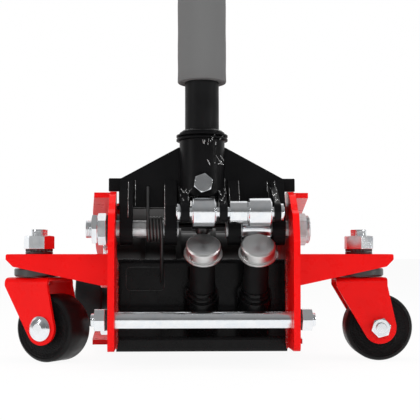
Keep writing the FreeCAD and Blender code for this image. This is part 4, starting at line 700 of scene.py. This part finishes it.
@dataclass
class Chassis(SubAssembly):
    """Side plates, outriggers, rods and everything bolted to them."""

    rear_half: float = 86 * MM
    plate: float = 6 * MM
    bead: float = 2.0 * MM
    corner_bead: float = 1.7 * MM
    bolt_radius: float = 8 * MM
    rod_radius: float = 6 * MM
    stem_thread: float = 7 * MM
    rod_thread: float = 4.5 * MM
    pivot_thread: float = 7.5 * MM
    thread_pitch: float = 1.7 * MM
    thread_depth: float = 0.85 * MM
    thread_rise: float = 0.3 * MM
    thread_lead: float = 0.9 * MM
    rod_washer: WasherSize = WasherSize(9.6 * MM, 6.1 * MM, 3 * MM, 16)
    pivot_washer: WasherSize = WasherSize(13.4 * MM, 8.1 * MM, 3.4 * MM, 20)
    stem_washer: WasherSize = WasherSize(13.3 * MM, 8.1 * MM, 5 * MM, 22)
    soft: float = 0.35 * MM
    lock_gap: float = 0.1 * MM
    tooth: float = 0.8 * MM
    hem_radius: float = 2.2 * MM
    head_face: float = 3.4 * MM

    def washer(self, shell: Shell, centre: Vector, outward: Vector, size: WasherSize) -> None:
        """Lay a split washer and a toothed one on top of it.

        Args:
            shell: Mesh to add to.
            centre: Centre of the seat.
            outward: Direction away from the seat.
            size: Sizes of the pair.
        """
        half, soft, bore, radius = size.thick / 2, self.soft, size.bore, size.radius
        face = half - self.lock_gap
        shell.lathe([(0, bore), (0, radius - soft), (soft, radius), (half - soft, radius),
                     (face, radius - soft), (face, bore)], centre, outward, 56)
        shell.lathe([(half, bore), (half, radius - soft), (half + soft, radius),
                     (size.thick - soft, radius), (size.thick, radius - soft), (size.thick, bore)], centre,
                    outward, size.teeth * 8, teeth=size.teeth, tooth=self.tooth)

    def lock_washers(self) -> None:
        """Washers under the nuts of the tie rod, the pivot bolts and the caster stems."""
        shell = Shell("lock_washers")
        tie, pivot = self.centre("rear_tie_rod"), self.place("handle_pump")
        stem, middle = self.place("right_caster_swivel"), self.middle()
        _, arm_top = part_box("right_outrigger")
        for side in (-1, 1):
            seat = middle + side * self.rear_half
            self.washer(shell, Vector((seat, tie.y, tie.z)), X_AXIS * side, self.rod_washer)
            self.washer(shell, Vector((seat, pivot.y, pivot.z)), X_AXIS * side, self.pivot_washer)
            self.washer(shell, Vector((middle + side * (stem.x - middle), stem.y, arm_top.z)), Z_AXIS,
                        self.stem_washer)
        piece = shell.build(OXIDE, Slot.OXIDE, 30.0)
        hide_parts("frame_washers")
        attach(piece, "frame")

    def threaded_end(self, name: str, tip: Vector, inward: Vector, radius: float, length: float) -> None:
        """Lay a thread over the last stretch of a stud.

        Args:
            name: Name of the piece.
            tip: Centre of the stud's end face.
            inward: Direction from the tip into the nut.
            radius: Radius of the plain stud.
            length: How much of it is threaded.
        """
        crest, core, lead = radius + self.thread_rise, radius * 0.4, self.thread_lead
        shell = Shell(name)
        shell.lathe([(0.0, core), (0.0, radius - self.thread_rise), (lead, crest), (length, crest),
                     (length, core)], tip - inward * 0.04 * MM, inward, 64,
                    Thread(lead * 0.5, length, self.thread_pitch, self.thread_depth))
        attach(shell.build(ZINC, Slot.ZINC, 60.0), "frame")

    def threads(self) -> None:
        """Threads on the studs' shown ends."""
        low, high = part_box("rear_tie_rod")
        tie, pivot = self.centre("rear_tie_rod"), self.place("handle_pump")
        stems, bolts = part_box("caster_stems")[1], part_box("pivot_bolts")[0]
        for side in ("left", "right"):
            stem = self.place(side + "_caster_swivel")
            self.threaded_end(side + "_stem_thread", Vector((stem.x, stem.y, stems.z)), -Z_AXIS,
                              self.bolt_radius, self.stem_thread)
        for side, tip, inward in (("left", low.x, X_AXIS), ("right", high.x, -X_AXIS)):
            self.threaded_end(side + "_tie_rod_thread", Vector((tip, tie.y, tie.z)), inward,
                              self.rod_radius, self.rod_thread)
        self.threaded_end("pivot_stud_thread", Vector((bolts.x, pivot.y, pivot.z)), X_AXIS,
                          self.bolt_radius, self.pivot_thread)

    def welds(self) -> None:
        """Beads where the outriggers meet the side plates, and down the inner corners by the power block."""
        middle = self.middle()
        outside, inside = Shell("outrigger_welds"), Shell("inner_welds")
        block_low, block_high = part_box("power_block")
        for side, node in ((-1, "left_outrigger"), (1, "right_outrigger")):
            low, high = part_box(node)
            face = middle + side * (self.rear_half + 0.9 * MM)
            wide = middle + side * (self.rear_half + 2.6 * MM)
            rear, top = low.y + 0.3 * MM, high.z + 0.2 * MM
            outside.bead([Vector((face, rear, low.z + 4 * MM)), Vector((face, rear, high.z - 2 * MM))],
                         self.bead, 11 + side)
            outside.bead([Vector((face, rear + 3 * MM, top)), Vector((wide, high.y - 4 * MM, top))],
                         self.bead * 0.9, 21 + side)
            # The inner corner beads take the darker red: painted shade for corners that lie in shade
            corner = middle + side * (self.rear_half - self.plate - 0.2 * MM)
            seam = block_low.y + 6 * MM
            inside.bead([Vector((corner, seam, block_low.z + 3 * MM)),
                         Vector((corner, seam, block_high.z - 4 * MM))], self.corner_bead, 31 + side, 0.3)
        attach(outside.build(RED, Slot.RED, 60.0), "frame")
        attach(inside.build(SHADED_CORNER_RED, Slot.RED, 60.0), "frame")

    def hem(self) -> None:
        """Rolled edge under the front end of the top cover."""
        _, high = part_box("top_cover")
        edge = [point.co for point in self.frame["nodes"]["top_cover"].data.vertices
                if point.co.y > high.y - 1 * MM]
        left, right = min(point.x for point in edge), max(point.x for point in edge)
        bottom = min(point.z for point in edge)
        line = Vector((0, high.y - self.hem_radius, bottom - self.hem_radius * 0.85))
        shell = Shell("cover_hem")
        shell.tube([line + X_AXIS * (left + 0.5 * MM), line + X_AXIS * (right - 0.5 * MM)],
                   lambda _: self.hem_radius, 20)
        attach(shell.build(BLACK, Slot.BLACK, 40.0), "frame")

    def head(self) -> None:
        """Rough-forged outer face of the right pivot bolt's head."""
        _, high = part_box("pivot_bolts")
        pivot = self.place("handle_pump")
        seat = Vector((high.x, pivot.y, pivot.z))
        corner = max((point.co - seat).length for point in self.frame["nodes"]["pivot_bolts"].data.vertices
                     if point.co.x > high.x - 0.1 * MM)
        shell = Shell("pivot_head_face")
        shell.lathe([(-0.2 * MM, 1 * MM), (-0.2 * MM, corner * 0.97), (self.head_face - 1.2 * MM, corner),
                     (self.head_face, corner - 1.4 * MM), (self.head_face, 1 * MM)], seat, X_AXIS, 96,
                    teeth=12, tooth=0.7 * MM)
        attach(shell.build(FORGED, Slot.ZINC, 30.0), "frame")

    def build(self) -> None:
        """Dress the chassis and add its fine pieces."""
        self.dress(RED, "left_side_plate", "right_side_plate", "left_outrigger", "right_outrigger")
        self.dress(BLACK, "top_cover")
        self.dress(ZINC, "rear_tie_rod", "tie_rod_nuts", "cover_screws", "pivot_nuts", "caster_stems",
                   "caster_stem_nuts", "block_bolts", "link_anchor_bolts", "front_axle", "arm_shaft",
                   "snap_rings")
        self.dress(FORGED, "pivot_bolts")
        self.dress(OXIDE, "caster_races")
        self.lock_washers()
        self.threads()
        self.welds()
        self.hem()
        self.head()


@dataclass
class PowerUnit(SubAssembly):
    """Power block, reservoir, both pumps, release valve and ram."""

    spring_radius: float = 6.0 * MM
    spring_wire: float = 0.7 * MM
    spring_coils: int = 14
    stroke: float = 19.0 * MM
    panel_edges: tuple[float, float] = (-72 * MM, -35 * MM)
    panel_heights: tuple[float, float] = (68.6 * MM, 91.1 * MM)
    panel_corner: float = 4 * MM
    panel_line: float = 0.4 * MM
    block_ahead: float = 37 * MM

    def panel_border(self) -> None:
        """Raised line round the bare panel on the power block's rear face."""
        left, right = (self.middle() + edge for edge in self.panel_edges)
        bottom, top = self.panel_heights
        face = self.place("handle_pump").y + self.block_ahead
        bend = self.panel_corner
        path = []
        for x, z, start in ((right - bend, top - bend, 0), (left + bend, top - bend, 1),
                            (left + bend, bottom + bend, 2), (right - bend, bottom + bend, 3)):
            for step in range(7):
                turn = math.pi / 2 * (start + step / 6)
                path.append(Vector((x + bend * math.cos(turn), face, z + bend * math.sin(turn))))
        path.append(path[0].copy())
        shell = Shell("panel_border")
        shell.tube(path, lambda _: self.panel_line, 8)
        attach(shell.build(WELD_BLACK, Slot.BLACK, 60.0), "frame")

    def turned(self, name: str, node: str, axis: Vector) -> None:
        """Dress a node as lathe-turned about its middle line.

        Args:
            name: Name of the finish.
            node: The node.
            axis: Direction of the line.
        """
        self.dress(Turned(name, (0.80, 0.80, 0.79), (0.72, 0.72, 0.72), (0.32, 0.40), metallic=1.0,
                          grain_depth=0.006 * MM, edge=0.8 * MM, point=tuple(self.centre(node)),
                          axis=tuple(axis)), node)

    def coil(self, pump: str, axis: Vector) -> None:
        """Wind a pump's spring in place of its plain sleeve, at its pressed length, from the cap's end.

        Args:
            pump: Name of the pump.
            axis: Direction of the spring.
        """
        node = pump + "_pump_spring"
        free = self.reach(node, axis, self.spring_radius)
        shell = Shell(pump + "_pump_coil")
        helix(shell, self.centre(node) - axis * free / 2, axis, self.spring_radius - self.spring_wire,
              free - self.stroke, self.spring_coils, self.spring_wire)
        piece = shell.build(SPRING, Slot.SPRING, 60.0)
        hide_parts(node)
        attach(piece, pump + "_piston")

    def build(self) -> None:
        """Dress the hydraulic parts and wind their springs."""
        self.dress(CAST_BLACK, "power_block")
        self.panel_border()
        self.dress(SATIN_BLACK, "reservoir", "main_pump_barrel", "second_pump_barrel")
        self.dress(RUBBER, "filler_plug")
        stroke = self.axis("main_pump_stroke")
        for pump in ("main", "second"):
            self.turned(pump + "_pump_turned", pump + "_pump_piston", stroke)
            self.coil(pump, stroke)
        self.turned("ram_turned", "ram", self.axis("ram_stroke"))
        self.dress(ZINC, "gland_nut")
        self.dress(OXIDE, "release_valve")


@dataclass
class Handle(SubAssembly):
    """Yoke, rollers, torsion spring and the two-piece handle.

    A glint line is a place across, a bottom and a top, and a glint spot a place across, a height and two half
    sizes, all in millimetres from the middle plane and the floor. Both are laid in bright metal as painted
    highlights.
    """

    gable_rear: float = 2 * MM
    tab_edges: tuple[tuple[float, float], ...] = ((-20.9 * MM, -12.9 * MM), (14.3 * MM, 21.3 * MM),
                                                  (63.7 * MM, 69.3 * MM))
    tab_seam: tuple[float, float] = (21 * MM, 41 * MM)
    glint_lines: tuple[tuple[float, float, float], ...] = (
        (-68.9, 137.7, 171.9), (-62.6, 131.1, 172.9), (-35.1, 131.1, 169.1), (20.9, 158.7, 174.8),
        (25.1, 147.3, 166.0), (34.2, 153.0, 173.0), (61.5, 162.0, 171.9), (68.3, 162.0, 172.9))
    glint_spots: tuple[tuple[float, float, float, float], ...] = (
        (-17.0, 157.0, 4.5, 6.0), (20.0, 156.0, 5.0, 7.0), (67.0, 156.0, 3.0, 6.0), (9.0, 207.5, 9.0, 4.5),
        (12.0, 188.5, 8.0, 3.0))
    tube_radius: float = 16 * MM
    collar_top: float = 90.7 * MM
    lip: float = 0.8 * MM
    dent: float = 0.25 * MM

    def spot(self, across: float, forward: float, up: float) -> Vector:
        """A point given in the yoke's own directions from the pivot.

        Args:
            across: Distance to the right of the middle plane.
            forward: Distance ahead of the pivot, square to the handle.
            up: Distance along the handle.

        Returns:
            The point in the model's frame.
        """
        rise = self.axis("handle_twist")
        pivot = self.place("handle_pump")
        ahead = rise.cross(X_AXIS)
        return Vector((self.middle(), pivot.y, pivot.z)) + X_AXIS * across + ahead * forward + rise * up

    def welds(self) -> None:
        """Beads at the socket's rim and above the roller tabs."""
        shell = Shell("yoke_welds")
        turns = [2 * math.pi * k / 48 for k in range(49)]
        rim = self.tube_radius + 1.9 * MM
        seam = self.collar_top + 0.2 * MM
        shell.bead([self.spot(rim * math.sin(a), -rim * math.cos(a), seam) for a in turns], 1.7 * MM, 3, 0.2)
        face = self.gable_rear - 0.4 * MM
        for index, (low, high) in enumerate(self.tab_edges):
            for edge in (low - 0.6 * MM, high + 0.6 * MM):
                shell.bead([self.spot(edge, face, up) for up in self.tab_seam], 1.5 * MM, 40 + index)
        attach(shell.build(WELD_BLACK, Slot.BLACK, 60.0), "yoke")

    def glints(self) -> None:
        """Painted highlights in bright metal down the lugs' edges, and on the welds' run-outs at the rollers
        and the socket.
        """
        yoke = self.frame["nodes"]["handle_yoke"]
        tree = BVHTree.FromPolygons([point.co for point in yoke.data.vertices],
                                    [face.vertices for face in yoke.data.polygons])
        middle, behind = self.middle(), self.place("handle_pump").y - 200 * MM

        def laid(across: float, up: float) -> Optional[Vector]:
            """Where the yoke's rear face lies at a place across and a height, in millimetres."""
            return tree.ray_cast(Vector((middle + across * MM, behind, up * MM)), Y_AXIS)[0]

        shell = Shell("yoke_glints")
        for index, (across, bottom, top) in enumerate(self.glint_lines):
            spots = [laid(across, bottom + (top - bottom) * k / 12) for k in range(13)]
            self.runs(shell, spots, 0.45 * MM, 80 + index)
        for index, (across, up, wide, tall) in enumerate(self.glint_spots):
            draw = random.Random(70 + index)
            for _ in range(9):
                x, z = across + draw.uniform(-wide, wide), up + draw.uniform(-tall, tall)
                lean, climb = draw.uniform(-1.2, 1.2), draw.uniform(0.6, 1.6)
                spots = [laid(x + lean * k, z + climb * k) for k in range(4)]
                self.runs(shell, spots, draw.uniform(0.3, 0.55) * MM, draw.randrange(1000))
        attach(shell.build(GLINT, Slot.BLACK, 60.0), "yoke")

    @staticmethod
    def runs(shell: Shell, spots: Sequence[Optional[Vector]], size: float, seed: int) -> None:
        """Lay beads along the stretches of a line that lie on one face.

        Args:
            shell: Mesh to add to.
            spots: Points of the line, None where it misses the yoke.
            size: Radius of the bead.
            seed: Start of its ripple.
        """
        stretch: list[Vector] = []
        for spot in list(spots) + [None]:
            if spot is not None and (not stretch or abs(spot.y - stretch[-1].y) < 3 * MM):
                stretch.append(spot)
                continue
            if len(stretch) > 1:
                shell.bead(stretch, size, seed, 0.3)
            stretch = [spot] if spot is not None else []

    def sleeve(self) -> None:
        """Foam sleeve with soft lips, in place of the plain tube."""
        low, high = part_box("foam_sleeve")
        rise = self.axis("handle_twist")
        outer, inner = (high.x - low.x) / 2, self.tube_radius + 0.1 * MM
        lip, length = self.lip, self.reach("foam_sleeve", rise, outer)
        profile = [(0.3 * MM, inner), (0.0, inner + lip), (0.0, outer - 2 * lip),
                   (0.4 * lip, outer - 0.6 * lip), (1.4 * lip, outer)]
        profile += [(length * k / 24, outer - self.dent * (0.5 + 0.5 * math.sin(k * 1.9)))
                    for k in range(1, 24)]
        profile += [(length - 1.4 * lip, outer), (length - 0.4 * lip, outer - 0.6 * lip),
                    (length, outer - 2 * lip), (length, inner + lip), (length - 0.3 * MM, inner)]
        shell = Shell("foam_sleeve_soft")
        shell.lathe(profile, self.centre("foam_sleeve") - rise * length / 2, rise, 96)
        piece = shell.build(FOAM, Slot.FOAM, 50.0)
        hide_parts("foam_sleeve")
        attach(piece, "handle")

    def build(self) -> None:
        """Dress the handle and add its fine pieces."""
        self.dress(YOKE_BLACK, "handle_yoke")
        self.dress(SATIN_BLACK, "lower_handle_tube", "upper_handle_tube", "release_cup")
        self.dress(ZINC, "clamp_bolt", "roller_shaft", "left_roller", "right_roller", "yoke_spacers",
                   "handle_button")
        self.dress(RUBBER, "hand_grip")
        self.dress(SPRING, "handle_spring")
        self.welds()
        self.glints()
        self.sleeve()


@dataclass
class LiftArm(SubAssembly):
    """Lift arm, levelling links, knuckle, saddle and return springs."""

    spring_radius: float = 7 * MM
    spring_wire: float = 1.1 * MM
    spring_coils: int = 26

    def springs(self) -> None:
        """Two coil springs in place of the plain sleeves."""
        low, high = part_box("return_springs")
        shell = Shell("return_coils")
        for centre_x in (low.x + self.spring_radius, high.x - self.spring_radius):
            start = Vector((centre_x, low.y + 0.3 * MM, (low.z + high.z) / 2))
            helix(shell, start, Y_AXIS, self.spring_radius - self.spring_wire, high.y - low.y - 0.6 * MM,
                  self.spring_coils, self.spring_wire)
        piece = shell.build(SPRING, Slot.SPRING, 60.0)
        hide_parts("return_springs")
        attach(piece, "arm")

    def build(self) -> None:
        """Dress the lifting parts and wind the springs."""
        self.dress(BLACK, "lift_arm")
        self.dress(CAST_BLACK, "saddle", "saddle_knuckle", "level_links")
        self.dress(ZINC, "ram_pin", "knuckle_pin", "link_bolts")
        self.springs()


@dataclass(frozen=True)
class WheelSize:
    """Sizes of a cast wheel; the halves and the web are taken along the axis from its middle."""

    radius: float
    half: float
    hub: float
    hub_half: float
    bore: float
    web: float
    soft: float = 1.2 * MM

    def section(self) -> list[tuple[float, float]]:
        """Work out the outer half section from the hub's end to the tread's middle.

        Returns:
            Its corners, each as (along, radius).
        """
        rim, soft = self.radius * RIM_SHARE, self.soft
        half, hub, web = self.half, self.hub, self.web
        return [(self.hub_half, self.bore), (self.hub_half, hub - soft), (self.hub_half - soft, hub),
                (web + soft, hub + 1.6 * MM), (web, hub + 3 * MM), (web, rim - 4 * MM),
                (web + soft, rim - 2 * MM), (half - soft, rim), (half, rim + soft),
                (half, self.radius - 3.4 * MM), (half - 0.8 * MM, self.radius - 1.9 * MM),
                (half - 1.9 * MM, self.radius - 0.8 * MM), (half - 3.4 * MM, self.radius)]


@dataclass
class Wheel:
    """A cast wheel: crowned tread, rim with a rough-cast ring, recessed web and hub."""

    name: str
    node: str
    centre: Vector
    axis: Vector
    size: WheelSize
    long_hub: float = 0.0

    def finish(self) -> CastWheel:
        """Cast finish about the wheel's own axis."""
        return CastWheel(self.name, WHEEL.colour, WHEEL.drift, WHEEL.roughness, specular=WHEEL.specular,
                         grain_size=1.6 * MM, grain_depth=0.8 * MM, edge=0.5 * MM, point=tuple(self.centre),
                         axis=tuple(self.axis), smooth_from=self.size.radius * RIM_SHARE)

    def build(self) -> None:
        """Turn the wheel and put it in its node's place."""
        outer = self.size.section()
        profile = [(-along, radius) for along, radius in outer] + outer[::-1]
        if self.long_hub:
            profile[:3] = [(shift - self.long_hub, radius)
                           for shift, (_, radius) in zip((0.0, 0.0, self.size.soft), outer)]
        shell = Shell(self.name)
        shell.lathe(profile, self.centre, self.axis, 128)
        piece = shell.build(self.finish(), Slot.WHEEL, 40.0)
        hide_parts(self.node)
        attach(piece, self.node)


@dataclass
class Caster(SubAssembly):
    """One swivel caster: fork, axle and wheel."""

    side: str = "left"
    wheel: WheelSize = WheelSize(32.5 * MM, 17 * MM, 10.5 * MM, 17.4 * MM, 5.1 * MM, 13.5 * MM)

    def build(self) -> None:
        """Dress the caster and turn its wheel."""
        roll = self.side + "_caster_roll"
        self.dress(RED, self.side + "_caster_fork")
        self.dress(ZINC, self.side + "_caster_axle")
        Wheel(self.side + "_caster_cast_wheel", self.side + "_caster_wheel", self.place(roll),
              self.axis(roll), self.wheel).build()


@dataclass
class FrontWheels(SubAssembly):
    """Two large wheels on the fixed front axle."""

    wheel: WheelSize = WheelSize(40 * MM, 18.5 * MM, 16 * MM, 19.5 * MM, 10.1 * MM, 11 * MM)

    def build(self) -> None:
        """Turn both wheels."""
        for side, sign in (("left", -1), ("right", 1)):
            node = side + "_front_wheel"
            low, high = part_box(node)
            place = self.place(node + "_spin")
            outer, inner = (high.x, low.x) if sign > 0 else (low.x, high.x)
            centre = Vector((outer - sign * self.wheel.hub_half, place.y, place.z))
            Wheel(side + "_front_cast_wheel", node, centre, X_AXIS * sign, self.wheel,
                  abs(centre.x - inner)).build()


def aim(data: bpy.types.ID, place: Triple, target: Triple) -> bpy.types.Object:
    """Put a lamp or a camera in the scene.

    Args:
        data: The lamp's or camera's data.
        place: Where it stands.
        target: What it points at.

    Returns:
        The object.
    """
    made = bpy.data.objects.new(data.name, data)
    made.location = place
    made.rotation_euler = (Vector(target) - Vector(place)).to_track_quat("-Z", "Y").to_euler()
    bpy.context.scene.collection.objects.link(made)
    return made


@dataclass(frozen=True)
class SoftBox:
    """A rectangular lamp: its place, the sizes of its face in metres and its power in watts."""

    name: str
    place: Triple
    width: float
    height: float
    power: float
    mirrored: bool = False

    def hang(self, target: Triple) -> None:
        """Hang the lamp.

        Args:
            target: What it points at.
        """
        data = bpy.data.lights.new(self.name, "AREA")
        data.shape = "RECTANGLE"
        data.size, data.size_y = self.width, self.height
        data.energy = self.power
        aim(data, self.place, target).visible_glossy = self.mirrored


@dataclass
class Studio:
    """Pale floor, white surroundings, soft lamps and the camera."""

    camera_place: Triple = (-0.0491, -1.3295, 0.1076)
    camera_target: Triple = (-0.0037, -0.3225, 0.1432)
    lens: float = 97.0
    sensor: float = 36.0
    room_tone: float = 0.14
    ceiling_tone: float = 0.30
    shown_share: float = 0.93
    floor_half: float = 12.0
    lit_spot: Triple = (0.0, -0.25, 0.15)
    boxes: tuple[SoftBox, ...] = (
        SoftBox("overhead_box", (0.0, -0.35, 1.9), 1.6, 0.9, 20),
        SoftBox("left_box", (-1.6, -1.3, 0.8), 0.7, 1.2, 10),
        SoftBox("right_box", (1.6, -1.2, 0.9), 0.7, 1.2, 9),
        SoftBox("front_box", (0.0, -2.3, 0.95), 1.5, 1.0, 16),
        SoftBox("left_strip", (-1.3, -0.9, 0.45), 0.05, 0.5, 2.2, True),
        SoftBox("right_strip", (1.3, -0.8, 0.45), 0.05, 0.5, 2.2, True))

    @staticmethod
    def rays(graph: Graph, *kinds: str) -> Socket:
        """Tell the rays that see the backdrop from the rest.

        Args:
            graph: Tree to add to.
            kinds: Names of Light Path's outputs.

        Returns:
            1 for a ray of one of the kinds, 0 for another.
        """
        path = graph.tree.nodes.new("ShaderNodeLightPath").outputs
        found = path[kinds[0]]
        for kind in kinds[1:]:
            found = graph.maths("MAXIMUM", found, path[kind])
        return found

    def floor(self) -> None:
        """Lay the floor, white to the camera with a trace of the object's shadow."""
        mesh = bpy.data.meshes.new("studio_floor")
        half = self.floor_half
        mesh.from_pydata([(-half, -half, 0), (half, -half, 0), (half, half, 0), (-half, half, 0)], [],
                         [(0, 1, 2, 3)])
        floor = bpy.data.objects.new("studio_floor", mesh)
        bpy.context.scene.collection.objects.link(floor)
        graph = Graph(bpy.data.materials.new("studio_floor"))
        mottle = graph.spread(graph.noise(60 * MM), 0.80, 0.84)
        tone = graph.add("ShaderNodeCombineColor", "Color", {key: mottle for key in ("Red", "Green", "Blue")})
        graph.fill(graph.shader, {"Base Color": tone, "Roughness": 0.9, "Specular IOR Level": 0.1})
        seen = self.rays(graph, "Is Camera Ray", "Is Transmission Ray", "Is Glossy Ray")
        shown = graph.add("ShaderNodeMixShader", "Shader", {
            "Fac": graph.maths("MULTIPLY", seen, self.shown_share), 1: graph.shader.outputs["BSDF"],
            2: graph.add("ShaderNodeEmission", "Emission", {"Strength": 1.0})})
        graph.fill(graph.tree.nodes["Material Output"], {"Surface": shown})
        mesh.materials.append(graph.owner)

    def surroundings(self) -> None:
        """Light the room: white backdrop ahead, grey ceiling, darker room behind the camera."""
        world = bpy.data.worlds.new("studio_room")
        bpy.context.scene.world = world
        graph = Graph(world)
        forward, up = (graph.add("ShaderNodeSeparateXYZ", part, {"Vector": graph.spots["Generated"]})
                       for part in "YZ")
        ahead = graph.spread(forward, 0.0, 1.0, 0.05, 0.5, "SMOOTHSTEP")
        overhead = graph.spread(up, self.room_tone, self.ceiling_tone, 0.0, 0.9, "SMOOTHSTEP")
        seen = self.rays(graph, "Is Camera Ray", "Is Transmission Ray")
        level = graph.maths("MAXIMUM", graph.maths("MAXIMUM", ahead, overhead), seen)
        graph.fill(graph.shader, {"Color": (1, 1, 1, 1), "Strength": level})

    def camera(self) -> None:
        """Set the camera at the photograph's place."""
        data = bpy.data.cameras.new("camera")
        data.lens, data.sensor_width = self.lens, self.sensor
        data.clip_start = 0.01
        bpy.context.scene.camera = aim(data, self.camera_place, self.camera_target)

    def build(self) -> None:
        """Set up floor, room, lamps and camera."""
        bpy.context.scene.view_settings.view_transform = "Standard"
        self.floor()
        self.surroundings()
        for box in self.boxes:
            box.hang(self.lit_spot)
        self.camera()
        LOG.info("studio ready")


def main() -> None:
    """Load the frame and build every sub-assembly over it."""
    logging.basicConfig(level=logging.INFO, format="%(name)s: %(message)s")
    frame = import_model()
    Chassis(frame).build()
    PowerUnit(frame).build()
    Handle(frame).build()
    LiftArm(frame).build()
    for side in ("left", "right"):
        Caster(frame, side).build()
    FrontWheels(frame).build()
    Studio().build()


if __name__ == "__main__":
    main()
